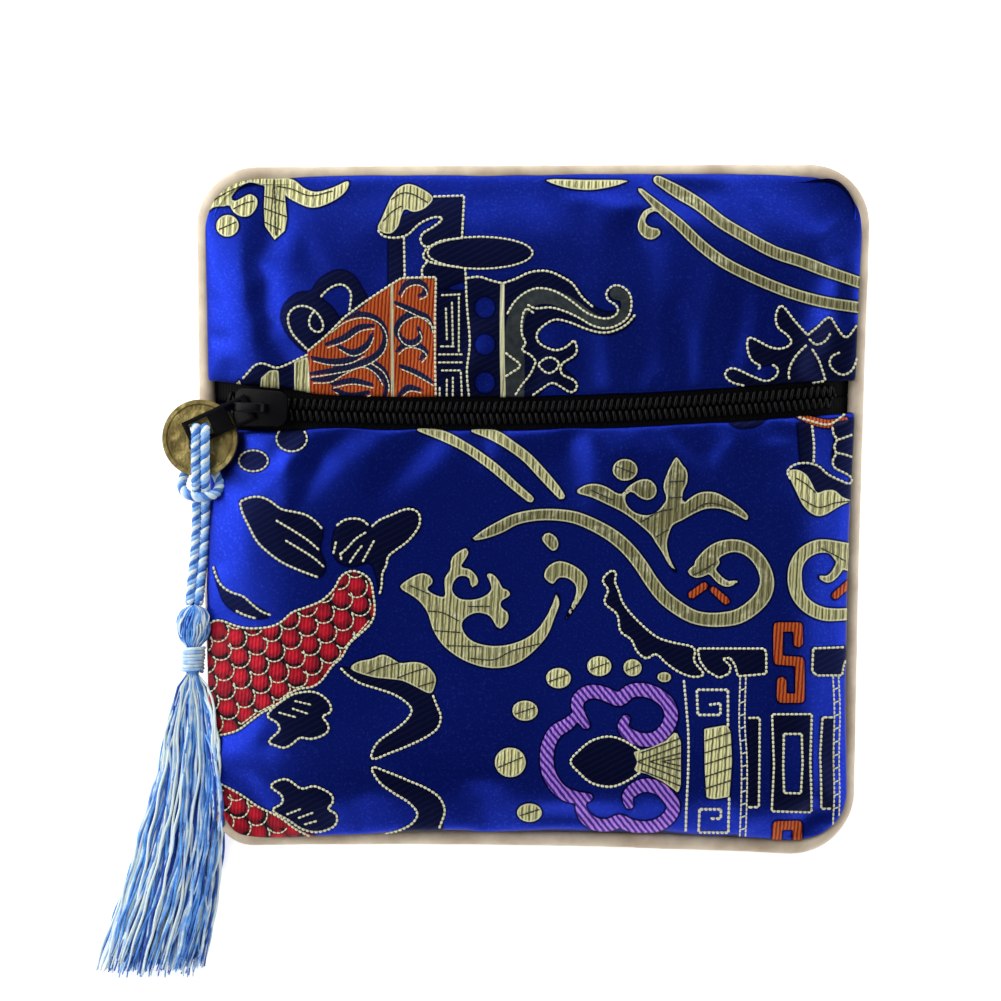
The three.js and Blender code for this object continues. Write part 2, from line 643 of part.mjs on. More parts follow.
// Locks of the skirt: side runs from -1 on the left to 1 on the right, top locks lie on the others, and
// the ones marked over ride on the piping
const locks = [
  { side: -1.0, top: 0, over: 0 }, { side: -0.68, top: 0, over: 0 }, { side: -0.36, top: 0, over: 0 },
  { side: -0.04, top: 0, over: 0 }, { side: 0.26, top: 0, over: 0 },
  { side: 0.62, top: 0, over: 0.1 }, { side: 1.0, top: 0, over: 0.35 },
  { side: -0.6, top: 1, over: 0 }, { side: -0.15, top: 1, over: 0 }, { side: 0.28, top: 1, over: 0 },
];
const skirtRows = [
  { along: 0.0, mid: 0.0, spread: 0.04, full: 0.45, fall: 0.0 },
  { along: 0.06, mid: -0.02, spread: 0.20, full: 0.8, fall: 0.15 },
  { along: 0.20, mid: -0.05, spread: 0.47, full: 1.0, fall: 0.45 },
  { along: 0.42, mid: -0.15, spread: 0.69, full: 1.0, fall: 0.85 },
  { along: 0.54, mid: -0.28, spread: 0.82, full: 1.0, fall: 0.95 },
  { along: 0.68, mid: -0.48, spread: 0.90, full: 1.0, fall: 1.0 },
  { along: 1.0, mid: -1.14, spread: 1.04, full: 0.75, fall: 1.0 },
];
const skirtHalf = (tasselSkirtWidth - lockWidth) / 2;
const skirtFloor = lockThickness / 2;
function lockRings({ side, top, over }) {
  const start = neckPlace(neckEnd);
  const pipingTop = seamHeight + pipingDiameter / 2 + clearance;
  return skirtRows.map(({ along, mid, spread, full, fall }) => {
    const x = start.x + (mid + side * spread) * skirtHalf;
    const y = start.y - along * tasselSkirtLength;
    const layer = top * lockThickness * 0.75 * full;
    let z = lerp(start.z, skirtFloor, fall) + layer;
    const isOnPouch = y > bottomSide(x, pipingDiameter / 2);
    if (over && isOnPouch) z = Math.max(z, pipingTop + over * lockThickness * fall + (full * lockThickness) / 2);
    return roundRing(new THREE.Vector3(x, y, z), (full * lockWidth) / 2, (full * lockThickness) / 2);
  });
}
let tassel = asSolid(loft(headRings));
for (const lock of locks) tassel = tassel.add(asSolid(loft(lockRings(lock))));
addPiece('tassel', asGeometry(tassel), blueSilk);

// The thread wound round the tassel's neck
const wrapInner = tasselNeckWidth / 2 + clearance;
const wrapOuter = wrapInner + tasselWrapWall;
const wrapFrom = neckStart - clearance;
const wrapTo = neckEnd + clearance;
const wrapRing = (y, radius) => roundRing(neckPlace(y), radius, radius);
const wrapRings = [[wrapFrom, wrapInner], [wrapFrom, wrapOuter], [wrapTo, wrapOuter], [wrapTo, wrapInner]];
addPiece('tassel_wrap', loft(wrapRings.map(([y, radius]) => wrapRing(y, radius)), true), blueSilk);

export default pouch;
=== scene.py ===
# The looks of a flat brocade zip pouch lying on its back, with a coin charm and a silk tassel on its pull tab.
# Everything is in metres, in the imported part's own frame: +Z out of the front, +Y towards the top seam.
import math

import bpy
import numpy as np
from mathutils import Matrix, Vector, noise
from mathutils.bvhtree import BVHTree


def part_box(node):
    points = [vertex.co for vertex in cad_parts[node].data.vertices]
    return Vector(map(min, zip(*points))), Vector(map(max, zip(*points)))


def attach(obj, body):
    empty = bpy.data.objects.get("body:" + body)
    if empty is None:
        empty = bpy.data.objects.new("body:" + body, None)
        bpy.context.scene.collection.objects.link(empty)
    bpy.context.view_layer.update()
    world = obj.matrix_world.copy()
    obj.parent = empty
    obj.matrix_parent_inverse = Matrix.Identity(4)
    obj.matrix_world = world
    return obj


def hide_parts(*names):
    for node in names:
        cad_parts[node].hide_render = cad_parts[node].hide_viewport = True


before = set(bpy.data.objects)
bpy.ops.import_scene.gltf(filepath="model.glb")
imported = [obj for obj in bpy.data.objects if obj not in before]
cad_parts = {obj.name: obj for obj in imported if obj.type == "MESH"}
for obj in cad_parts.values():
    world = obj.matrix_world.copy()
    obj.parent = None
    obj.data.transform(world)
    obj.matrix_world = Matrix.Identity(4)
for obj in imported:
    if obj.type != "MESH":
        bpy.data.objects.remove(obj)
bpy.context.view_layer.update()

# Camera: the pouch is seen from straight above through a long lens, as in a shop's picture.
# A pixel of the photograph is 0.172 mm on the pouch, and its frame is 1001 pixels square.
mm = 0.001
pixel = 0.172 * mm
photo_size = 1001
photo_origin = (534.5, 509.2)
camera_height = 1.4
lens_focus = 6 * mm
sensor = 36.0


def from_photo(points):
    points = np.asarray(points, float).reshape(-1, 2)
    return np.stack([points[:, 0] - photo_origin[0], photo_origin[1] - points[:, 1]], 1) * pixel


camera = bpy.data.objects.new("photo_camera", bpy.data.cameras.new("photo_camera"))
bpy.context.scene.collection.objects.link(camera)
camera.location = (*from_photo([photo_size / 2, photo_size / 2])[0], camera_height)
camera.data.sensor_width = sensor
camera.data.lens = sensor * (camera_height - lens_focus) / (photo_size * pixel)
camera.data.clip_start = 0.01
bpy.context.scene.camera = camera
bpy.context.scene.view_settings.view_transform = "Standard"

# Studio: a white sheet under the pouch and soft boxes round it. The big one on the left lights the slopes
# that face it, and nothing bright stands overhead, so the level satin stays dark.


def set_inputs(material, node, **inputs):
    """Sets a node's sockets, named or by number as _0 and _1, each to a value or to another node's output."""
    for name, value in inputs.items():
        socket = node.inputs[int(name[1:])] if name[0] == "_" else node.inputs[name.replace("_", " ")]
        if isinstance(value, bpy.types.NodeSocket):
            material.node_tree.links.new(value, socket)
        else:
            socket.default_value = value


def add_node(material, kind, settings=(), **inputs):
    made = material.node_tree.nodes.new(kind)
    for name, value in dict(settings).items():
        setattr(made, name, value)
    set_inputs(material, made, **inputs)
    return made


def node_maths(material, operation, a, b=0.0, c=0.0):
    return add_node(material, "ShaderNodeMath", {"operation": operation}, _0=a, _1=b, _2=c).outputs[0]


def colors_along(material, share, *stops):
    """A colour for each share from 0 to 1, from stops with a share and a colour each."""
    ramp = add_node(material, "ShaderNodeValToRGB", Fac=share)
    marks = ramp.color_ramp.elements
    marks[0].position, marks[1].position = stops[0][0], stops[-1][0]
    marks[0].color, marks[1].color = (*stops[0][1], 1), (*stops[-1][1], 1)
    for place, color in stops[1:-1]:
        marks.new(place).color = (*color, 1)
    return ramp.outputs["Color"]


def new_finish(name, color, roughness, metallic=0.0, **constants):
    material = bpy.data.materials.new(name)
    material.use_nodes = True
    shader = material.node_tree.nodes["Principled BSDF"]
    set_inputs(material, shader, Base_Color=(*color, 1), Roughness=roughness, Metallic=metallic, **constants)
    return material, shader


def start_piece(name, primitive, **sizes):
    bpy.ops.object.select_all(action="DESELECT")
    primitive(**sizes)
    piece = bpy.context.object
    piece.name = name
    return piece


def dress(piece, material):
    piece.data.materials.clear()
    piece.data.materials.append(material)
    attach(piece, "root")


floor = start_piece("white_sheet", bpy.ops.mesh.primitive_plane_add, size=6, location=(0, 0, 0))
floor_paper, _ = new_finish("white_paper", (0.93, 0.93, 0.93), 0.9, Emission_Color=(1, 1, 1, 1),
                            Emission_Strength=0.6)
floor.data.materials.append(floor_paper)

studio = bpy.data.worlds.new("studio")
bpy.context.scene.world = studio
studio.use_nodes = True
sky_way = add_node(studio, "ShaderNodeTexCoord").outputs["Generated"]
sky_part = add_node(studio, "ShaderNodeSeparateXYZ", Vector=sky_way).outputs
sky_side = node_maths(studio, "MULTIPLY_ADD", sky_part["Y"], -0.18, sky_part["Z"])
sky_lean = node_maths(studio, "MULTIPLY_ADD", sky_part["X"], 0.12, sky_side)
sky_light = colors_along(studio, sky_lean, (0.0, (1.8,) * 3), (0.5, (0.58,) * 3), (0.78, (0.14,) * 3),
                         (0.92, (0.15,) * 3))
set_inputs(studio, studio.node_tree.nodes["Background"], Color=sky_light, Strength=1.0)
# side and height of each soft box in metres, its size and its power in watts
soft_boxes = {
    "left_box": ((-1.00, 0.30, 0.80), 1.00, 7.5),
    "top_box": ((0.25, 1.15, 0.70), 0.90, 1.6),
    "right_box": ((1.05, -0.15, 0.50), 0.70, 2.0),
    "near_box": ((-0.25, -1.10, 0.60), 0.80, 0.4),
}
for box_name, (place, width, power) in soft_boxes.items():
    box = bpy.data.objects.new(box_name, bpy.data.lights.new(box_name, "AREA"))
    bpy.context.scene.collection.objects.link(box)
    box.location = place
    box.rotation_euler = (-Vector(place)).to_track_quat("-Z", "Y").to_euler()
    box.data.size = width
    box.data.energy = power

# Cord: one length of light blue silk, three plies twisted together and doubled. It runs up from the tassel
# over the coin, through the pull tab's hole and the coin's, and its bend crosses over its two strands.
coin_low, coin_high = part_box("coin")
coin_centre = (coin_low + coin_high) / 2
coin_tilt = math.radians(11.5)
strand_diameter = 1.72 * mm
ply_diameter = 1.0 * mm
plies = 3
twist_length = 2.6 * mm
# place on the left and right strand, height and depth from the coin's centre, in millimetres
cord_route = [
    (-1.85, -0.30, -28.45, -1.10),
    (-1.50, 0.05, -24.80, -1.50),
    (-1.05, 0.55, -20.20, -1.95),
    (-0.78, 0.86, -15.80, -2.12),
    (-0.70, 0.92, -12.80, -1.85),
    (-0.70, 0.92, -10.05, -0.95),
    (-0.70, 0.92, -8.20, 0.55),
    (-0.70, 0.92, -6.90, 1.45),
    (-0.70, 0.92, -5.40, 1.75),
    (-0.70, 0.92, -3.20, 2.20),
    (-0.64, 0.94, -0.95, 2.80),
    (-0.62, 0.96, 0.55, 3.00),
    (-0.62, 0.96, 1.50, 2.80),
    (-0.62, 0.96, 1.75, 1.85),
    (-0.62, 0.96, 1.00, 0.70),
    (-0.64, 0.96, 0.45, -0.35),
    (-0.80, 1.05, -0.40, -1.30),
    (-1.15, 1.35, -2.15, -1.70),
    (-1.80, 1.95, -4.25, -1.70),
    (-2.75, 2.70, -6.25, -1.55),
    (-3.25, 3.35, -7.85, -1.15),
    (-2.85, 3.00, -9.10, -0.20),
    (-1.80, 1.95, -9.85, 0.85),
    (0.10, 0.10, -10.15, 1.20),
]


def cord_place(aside, up, out):
    return np.array(coin_centre) + np.array([aside, up, out + aside * math.tan(coin_tilt)]) * mm


def curve_through(points, steps, closed=False):
    """A smooth line through the points, with steps to each stretch: a centripetal Catmull-Rom curve."""
    points = np.asarray(points, float)
    if closed:
        points = np.vstack([points[-1:], points, points[:2]])
    else:
        points = np.vstack([2 * points[0] - points[1], points, 2 * points[-1] - points[-2]])
    share = np.linspace(0, 1, steps, endpoint=False)[:, None]
    line = []
    for a, b, c, d in zip(points, points[1:], points[2:], points[3:]):
        before, here, after = (max(np.linalg.norm(q - p), 1e-9) ** 0.5 for p, q in ((a, b), (b, c), (c, d)))
        start = ((b - a) / before - (c - a) / (before + here) + (c - b) / here) * here
        end = ((c - b) / here - (d - b) / (here + after) + (d - c) / after) * here
        bend = -3 * b + 3 * c - 2 * start - end
        line.append(b + start * share + bend * share**2 + (2 * b - 2 * c + start + end) * share**3)
    return np.vstack(line if closed else [*line, points[-2:-1]])


def even_steps(line, step):
    along = np.concatenate([[0], np.cumsum(np.linalg.norm(np.diff(line, axis=0), axis=1))])
    at = np.linspace(0, along[-1], max(2, int(round(along[-1] / step)) + 1))
    return np.stack([np.interp(at, along, line[:, k]) for k in range(line.shape[1])], 1), at


def side_ways(line):
    """Two directions square to the line at each of its points, which turn with it as little as they can."""
    way = np.gradient(line, axis=0)
    way /= np.linalg.norm(way, axis=1)[:, None]
    aside = np.cross(way[0], (0, 0, 1) if abs(way[0][2]) < 0.9 else (1, 0, 0))
    asides = []
    for forward in way:
        aside = aside - forward * aside.dot(forward)
        aside = aside / np.linalg.norm(aside)
        asides.append(aside)
    asides = np.array(asides)
    return asides, np.cross(way, asides)


def new_piece(name, points, faces):
    mesh = bpy.data.meshes.new(name)
    mesh.from_pydata(points, [], faces)
    mesh.shade_smooth()
    piece = bpy.data.objects.new(name, mesh)
    bpy.context.scene.collection.objects.link(piece)
    return piece


def write_on(piece, name, values):
    piece.data.attributes.new(name, "FLOAT", "POINT").data.foreach_set("value", values)


def thread_mesh(name, lines, radii, sides, tones=None):
    """One mesh of round threads with closed ends, one along each line."""
    points, faces, shades = [], [], []
    turn = 2 * np.pi * np.arange(sides)[:, None] / sides
    first = 0
    for index, (line, radius) in enumerate(zip(lines, radii)):
        aside, above = side_ways(line)
        radius = np.broadcast_to(np.asarray(radius, float), len(line))[:, None, None]
        rings = line[:, None] + radius * (aside[:, None] * np.cos(turn) + above[:, None] * np.sin(turn))
        points.append(rings.reshape(-1, 3))
        for ring in range(len(line) - 1):
            low = first + ring * sides
            faces += [(low + k, low + (k + 1) % sides, low + sides + (k + 1) % sides, low + sides + k)
                      for k in range(sides)]
        last = first + (len(line) - 1) * sides
        faces += [tuple(range(first + sides - 1, first - 1, -1)), tuple(range(last, last + sides))]
        tone = 0.5 if tones is None else tones[index]
        shades += np.repeat(np.broadcast_to(tone, len(line)), sides).tolist()
        first = last + sides
    piece = new_piece(name, np.vstack(points).tolist(), faces)
    write_on(piece, "tone", shades)
    return piece


cord_points = [cord_place(left, up, out) for left, _, up, out in cord_route]
cord_points += [cord_place(right, up, out) for _, right, up, out in reversed(cord_route[:-1])]
cord_line, cord_along = even_steps(curve_through(cord_points, 12), twist_length / 14)
cord_aside, cord_above = side_ways(cord_line)
ply_lines = []
for ply in range(plies):
    turn = (2 * np.pi * (cord_along / twist_length + ply / plies))[:, None]
    ply_lines.append(cord_line + (strand_diameter - ply_diameter) / 2
                     * (cord_aside * np.cos(turn) + cord_above * np.sin(turn)))
# The three plies of the one silk get a dark, a middle and a light tone: painted shade and painted highlight along the
# twist.
cord = thread_mesh("twisted_cord", ply_lines, [ply_diameter / 2] * plies, 10, tones=(0.08, 0.45, 0.75))


def written(material, name):
    return add_node(material, "ShaderNodeAttribute", {"attribute_name": name}).outputs["Fac"]


def grain(material, scale, detail=2.0):
    place = add_node(material, "ShaderNodeTexCoord").outputs["Object"]
    return add_node(material, "ShaderNodeTexNoise", Vector=place, Scale=scale, Detail=detail).outputs["Fac"]


def bump(material, strength, depth, height):
    return add_node(material, "ShaderNodeBump", Strength=strength, Distance=depth,
                    Height=height).outputs["Normal"]


silk, silk_shader = new_finish("light_blue_silk", (0.3, 0.55, 0.9), 0.36, Specular_IOR_Level=0.5)
silk_streak = grain(silk, 900.0, 3.0)
silk_tone = node_maths(silk, "MULTIPLY_ADD", silk_streak, 0.5, written(silk, "tone"))
silk_color = colors_along(silk, silk_tone, (0.15, (0.010, 0.075, 0.46)), (0.6, (0.12, 0.42, 1.0)),
                          (1.0, (0.84, 0.98, 1.0)))
set_inputs(silk, silk_shader, Base_Color=silk_color, Normal=bump(silk, 0.35, 0.1 * mm, silk_streak))
dress(cord, silk)
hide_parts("cord")

# Front panels: padded satin brocade in two pieces, sewn to the zipper's tapes and gathered a little at the
# seam by the piping, which the cloth bulges over along the top and the left.
pouch_width_top = 116.4 * mm
pouch_width_bottom = 110.0 * mm
pouch_height = 118.3 * mm
top_tilt = 0.5 * mm
bottom_tilt = 2.0 * mm
corner_radius = {"top_left": 10.3 * mm, "top_right": 10.3 * mm, "bottom_right": 11.0 * mm,
                 "bottom_left": 7.0 * mm}
side_bow = {"left": 0.006, "right": -0.0035, "top": 0.001, "bottom": -0.01}
panel_wall = 1.2 * mm
front_rise = 6.6 * mm
piping_diameter = 2.8 * mm
seam_height = 3.2 * mm
clearance = 0.3 * mm
rim_inset = piping_diameter + clearance
zip_height, zip_tilt, zip_bow = 16.6 * mm, 1.0 * mm, 2.4 * mm
zip_valley, zip_valley_reach = 0.7 * mm, 5.0 * mm
coil_width, coil_thickness, coil_mesh_gap = 2.0 * mm, 2.1 * mm, 0.15 * mm
zip_margin, zip_end_inset, zip_spread = 0.55 * mm, 1.2 * mm, 0.9 * mm
slider_length, slider_front, slider_rear, slider_from_end = 9.2 * mm, 6.7 * mm, 5.8 * mm, 8.4 * mm


def ease(share):
    share = np.clip(share, 0, 1)
    return share**2 * (3 - 2 * share)


def half_width(y):
    return (pouch_width_bottom + (pouch_width_top - pouch_width_bottom) * (y / pouch_height + 0.5)) / 2


def bow(side, along):
    return side_bow[side] * pouch_height * (1 - along**2)


def across_share(x):
    return 2 * x / pouch_width_top


def left_side(y, inset):
    return -half_width(y) - bow("left", 2 * y / pouch_height) + inset


def right_side(y, inset):
    return half_width(y) + bow("right", 2 * y / pouch_height) - inset


def top_side(x, inset):
    return pouch_height / 2 + top_tilt / 2 * across_share(x) + bow("top", across_share(x)) - inset


def bottom_side(x, inset):
    return -pouch_height / 2 - bottom_tilt / 2 * across_share(x) - bow("bottom", across_share(x)) + inset


def corner_cut(off, radius):
    down = np.maximum(radius - np.maximum(off, 0), 0)
    return radius - np.sqrt(np.maximum(radius**2 - down**2, 0))


def row_ends(y, x, inset):
    above, below = top_side(x, inset) - y, y - bottom_side(x, inset)
    left = np.maximum(corner_cut(above, corner_radius["top_left"] - inset),
                      corner_cut(below, corner_radius["bottom_left"] - inset))
    right = np.maximum(corner_cut(above, corner_radius["top_right"] - inset),
                       corner_cut(below, corner_radius["bottom_right"] - inset))
    return left_side(y, inset) + left, right_side(y, inset) - right


def outline_loop(inset, side_steps, arc_steps):
    corners = (("bottom_right", True, False), ("top_right", True, True), ("top_left", False, True),
               ("bottom_left", False, False))
    arcs = []
    for index, (name, right, top) in enumerate(corners):
        radius = corner_radius[name] - inset
        y0 = (1 if top else -1) * (pouch_height / 2 - corner_radius[name])
        x0 = right_side(y0, inset) - radius if right else left_side(y0, inset) + radius
        middle = top_side(x0, inset) - radius if top else bottom_side(x0, inset) + radius
        turn = (index - 1 + np.linspace(0, 1, arc_steps + 1)) * np.pi / 2
        arcs.append(np.stack([x0 + radius * np.cos(turn), middle + radius * np.sin(turn)], 1))
    loop = []
    for index, arc in enumerate(arcs):
        loop.append(arc)
        start, end = arc[-1], arcs[(index + 1) % 4][0]
        share = np.linspace(0, 1, side_steps + 1)[1:-1]
        x, y = start[0] + (end[0] - start[0]) * share, start[1] + (end[1] - start[1]) * share
        side = ((right_side(y, inset), y), (x, top_side(x, inset)), (left_side(y, inset), y),
                (x, bottom_side(x, inset)))[index]
        loop.append(np.stack(side, 1))
    return np.vstack(loop)


def zip_line(x):
    return zip_height + zip_tilt * across_share(x) + zip_bow * across_share(x) ** 2


zip_left_end = left_side(zip_height, rim_inset) + zip_end_inset
zip_right_end = right_side(zip_height, rim_inset) - zip_end_inset
slider_x = left_side(zip_height, rim_inset) + slider_from_end


def coil_offset(x):
    opening = zip_spread * np.clip((slider_x - x) / (slider_x - zip_left_end), 0, 1) ** 2
    return coil_mesh_gap / 2 + coil_width / 2 + opening


def bare_edge(x):
    return coil_offset(x) + coil_width / 2 + zip_margin


slider_room = clearance + 0.1 * mm + max(
    slider_front / 2 - bare_edge(slider_x - slider_length / 2),
    slider_rear / 2 - bare_edge(slider_x + slider_length / 2),
)


def cloth_offset(x):
    return bare_edge(x) + slider_room * ease((slider_x + slider_length - x) / (slider_length / 2))


# place from the centre, half length and half width as shares of the half height, turn in degrees, and lift
# as a share of the rise
folds = [
    (-0.86, 0.60, 0.34, 0.060, 92, 0.10), (-0.75, 0.84, 0.13, 0.050, 72, -0.13),
    (-0.70, 0.14, 0.13, 0.045, 60, 0.07), (-0.86, -0.18, 0.24, 0.055, 86, 0.09),
    (0.31, 0.77, 0.26, 0.120, 150, -0.10), (-0.16, 0.93, 0.10, 0.045, 80, -0.08),
    (-0.40, -0.50, 0.34, 0.140, 20, -0.06), (0.72, -0.30, 0.30, 0.120, 75, 0.05),
]
# smaller pulls and puckers, which only the cloth shows
puckers = [
    (-0.90, 0.90, 0.10, 0.030, 40, -0.06), (-0.62, 0.93, 0.09, 0.028, 100, 0.05),
           (-0.40, 0.94, 0.08, 0.030, 84, -0.05), (-0.69, 0.06, 0.10, 0.022, 64, 0.06),
           (-0.94, 0.02, 0.07, 0.024, 15, 0.05), (-0.90, -0.22, 0.09, 0.022, 100, 0.06),
           (-0.20, 0.92, 0.07, 0.026, 70, 0.05), (0.02, 0.94, 0.07, 0.024, 96, -0.05),
           (0.30, 0.94, 0.09, 0.030, 110, 0.05), (0.62, 0.93, 0.07, 0.026, 88, -0.04),
           (0.22, 0.60, 0.22, 0.040, 96, 0.03), (-0.55, -0.93, 0.07, 0.026, 82, 0.05),
           (-0.15, -0.94, 0.08, 0.026, 100, -0.05), (0.25, -0.94, 0.07, 0.024, 78, 0.05),
           (0.60, -0.93, 0.07, 0.026, 92, 0.05), (0.95, -0.40, 0.26, 0.026, 88, 0.09),
           (0.95, 0.20, 0.10, 0.022, 84, 0.05), (-0.93, -0.60, 0.08, 0.024, 12, 0.04),
           (0.93, 0.62, 0.14, 0.030, 80, -0.04), (-0.35, 0.24, 0.16, 0.030, 20, 0.025),
           (0.10, 0.14, 0.20, 0.030, 172, -0.025), ]


def fold_lift(x, y, table):
    half = pouch_height / 2
    lift = 0
    for across, up, length, width, turn, height in table:
        dx, dy, turn = x / half - across, y / half - up, math.radians(turn)
        along = (dx * math.cos(turn) + dy * math.sin(turn)) / length
        aside = (-dx * math.sin(turn) + dy * math.cos(turn)) / width
        lift = lift + height * np.exp(-(along**2) - aside**2)
    return lift * front_rise


def puff(share, squareness=6):
    return np.maximum(1 - np.abs(share) ** squareness, 0) ** 0.75


def shares_of(x, y):
    left, right = row_ends(y, x, rim_inset)
    low, high = bottom_side(x, rim_inset), top_side(x, rim_inset)
    across, up = (2 * x - left - right) / (right - left), (2 * y - low - high) / (high - low)
    return np.clip(across, -1, 1), np.clip(up, -1, 1)


full_squareness, full_below, full_reach = 11, 8 * mm, 9 * mm


def front_height(x, y, with_puckers=False):
    across, up = shares_of(x, y)
    fullness = puff(across) * puff(up)
    if with_puckers:
        # the lower panel stands fuller near its seam than the flat solid does
        fuller = puff(across, full_squareness) * puff(up, full_squareness)
        fullness = fullness + (fuller - fullness) * ease((full_below - y) / full_reach)
    valley = zip_valley * np.exp(-(((y - zip_line(x)) / zip_valley_reach) ** 2))
    lift = fold_lift(x, y, folds + puckers if with_puckers else folds)
    rim_top = seam_height + clearance / 2 + panel_wall
    return rim_top + front_rise * fullness + (lift - valley) * np.minimum(1, 2 * fullness)


def panel_place(across, along, low_edge, high_edge):
    x, y = across * half_width(0), 0 * along
    for _ in range(5):
        low, high = low_edge(x), high_edge(x)
        y = low + (high - low) * along
        left, right = row_ends(y, x, rim_inset)
        x = left + (right - left) * (across + 1) / 2
    return x, y


def top_rim(x):
    return top_side(x, rim_inset)


def bottom_rim(x):
    return bottom_side(x, rim_inset)


def above_zip(x):
    return zip_line(x) + cloth_offset(x)


def below_zip(x):
    return zip_line(x) - cloth_offset(x)


panel_columns = 58
rim_loop = outline_loop(rim_inset, 60, 14)
bulge_reach = 0.75 * mm
bulge = {"left": 2.8 * mm, "left_low": 4.3 * mm, "top": 2.3 * mm, "right": 2.9 * mm, "bottom_left": 2.1 * mm,
         "bottom_right": 1.0 * mm}
low_middle, low_reach = -26 * mm, 22 * mm
seam_dip, seam_reach = 0.5 * mm, 0.55 * mm


def panel_rows(rows, low_is_seam, high_is_seam):
    even = np.linspace(0, 1, rows)
    low = even**1.35 if low_is_seam else even
    high = 1 - (1 - even) ** 1.35 if high_is_seam else even
    return low * (1 - even) + high * even


def over_piping(x, y, z):
    """Near the seam the cloth leans out over the piping, and its very edge dips down to it."""
    loop, after = rim_loop, np.roll(rim_loop, -1, axis=0)
    way = after - np.roll(rim_loop, 1, axis=0)
    away = np.stack([way[:, 1], -way[:, 0]], 1) / np.linalg.norm(way, axis=1)[:, None]
    places = np.stack([x.ravel(), y.ravel()], 1)
    nearest = ((places[:, None] - loop[None]) ** 2).sum(2).argmin(1)
    off = np.abs(((places - loop[nearest]) * away[nearest]).sum(1)) / bulge_reach
    away = away[nearest]
    right_share = ease(places[:, 0] / pouch_width_top + 0.5)
    bottom = bulge["bottom_left"] + (bulge["bottom_right"] - bulge["bottom_left"]) * right_share
    low_share = np.exp(-(((places[:, 1] - low_middle) / low_reach) ** 4))
    left = bulge["left"] + (bulge["left_low"] - bulge["left"]) * low_share
    to_left, to_right, to_top, to_bottom = (
        np.maximum(way, 0) ** 2 for way in (-away[:, 0], away[:, 0], away[:, 1], -away[:, 1]))
    amount = to_left * left + to_right * bulge["right"] + to_top * bulge["top"] + to_bottom * bottom
    lean = (amount * off * np.exp(1 - off) + seam_reach * to_bottom * np.exp(-off))[:, None] * away
    return (x + lean[:, 0].reshape(x.shape), y + lean[:, 1].reshape(x.shape),
            z - seam_dip * np.exp(-4 * off).reshape(x.shape))


def point_places(piece):
    places = np.empty(len(piece.data.vertices) * 3)
    piece.data.vertices.foreach_get("co", places)
    return places.reshape(-1, 3)


def move_points(piece, places):
    piece.data.vertices.foreach_set("co", places.ravel())
    piece.data.update()


rim_tuck, tuck_squareness = 0.008, 24


def cloth_grid(name, columns, rows, low_edge, high_edge, height, leans=True):
    """A grid of cloth: even columns from the left seam to the right one, rows from the low edge up."""
    even = np.linspace(-1, 1, columns)
    across = np.sign(even) * (1 - (1 - np.abs(even)) ** 1.3)
    across, along = np.meshgrid(across, rows, indexing="ij")
    x, y = panel_place(across, along, low_edge, high_edge)
    piece = start_piece(name, bpy.ops.mesh.primitive_grid_add, x_subdivisions=len(rows) - 1,
                        y_subdivisions=columns - 1, size=1)
    places = point_places(piece)
    column = np.rint((places[:, 1] + 0.5) * (columns - 1)).astype(int)
    row = np.rint((0.5 - places[:, 0]) * (len(rows) - 1)).astype(int)
    z = height(x, y)
    if leans:
        x, y, z = over_piping(x, y, z)
    else:
        up = 2 * y / pouch_height
        x = x * (1 + rim_tuck * np.abs(across) ** tuck_squareness)
        y = y * (1 + rim_tuck * np.abs(up) ** tuck_squareness)
    moved = np.stack([x[column, row], y[column, row], z[column, row]], 1)
    move_points(piece, moved)
    rim = (column == 0) | (column == columns - 1) | (row == 0) | (row == len(rows) - 1)
    return piece, moved, rim


padding_most = 0.8 * mm


def pad_out(piece, flat, rim):
    """Blows the panel up between its sewn edges, as padding does, and keeps each point near its place."""
    sewn = piece.vertex_groups.new(name="sewn")
    sewn.add([int(i) for i in np.flatnonzero(rim)], 1.0, "REPLACE")
    cloth = piece.modifiers.new("padding", "CLOTH")
    cloth.settings.quality = 6
    cloth.settings.mass = 0.15
    cloth.settings.tension_stiffness = 20
    cloth.settings.compression_stiffness = 12
    cloth.settings.bending_stiffness = 1.6
    cloth.settings.use_pressure = True
    cloth.settings.uniform_pressure_force = 2.2
    cloth.settings.shrink_min = -0.016
    cloth.settings.effector_weights.gravity = 0
    cloth.settings.vertex_group_mass = "sewn"
    cloth.collision_settings.use_self_collision = False
    cloth.point_cache.frame_start, cloth.point_cache.frame_end = 1, 22
    for step in range(1, 21):
        bpy.context.scene.frame_set(step)
    blown = piece.evaluated_get(bpy.context.evaluated_depsgraph_get()).data
    places = np.empty(len(blown.vertices) * 3)
    blown.vertices.foreach_get("co", places)
    move = places.reshape(-1, 3) - flat
    move *= np.minimum(1, padding_most / np.maximum(np.linalg.norm(move, axis=1)[:, None], 1e-9))
    piece.modifiers.remove(cloth)
    piece.vertex_groups.clear()
    bpy.context.scene.frame_set(1)
    move_points(piece, flat + move)


def thicken(piece, wall, levels):
    bpy.context.view_layer.objects.active = piece
    skin = piece.modifiers.new("wall", "SOLIDIFY")
    skin.thickness, skin.offset = wall, -1
    bpy.ops.object.modifier_apply(modifier="wall")
    if levels:
        smooth = piece.modifiers.new("smooth", "SUBSURF")
        smooth.levels = smooth.render_levels = levels
        bpy.ops.object.modifier_apply(modifier="smooth")
    bpy.ops.object.shade_smooth()


def pucker_height(x, y):
    return front_height(x, y, with_puckers=True)


front_panels = []
for panel_name, node, rows, low_edge, high_edge in (
    ("upper_front_cloth", "front_panel_upper", panel_rows(25, False, True), above_zip, top_rim),
    ("lower_front_cloth", "front_panel_lower", panel_rows(43, True, False), bottom_rim, below_zip),
):
    panel, flat, rim = cloth_grid(panel_name, panel_columns, rows, low_edge, high_edge, pucker_height)
    pad_out(panel, flat, rim)
    thicken(panel, panel_wall, 2)
    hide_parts(node)
    front_panels.append(panel)
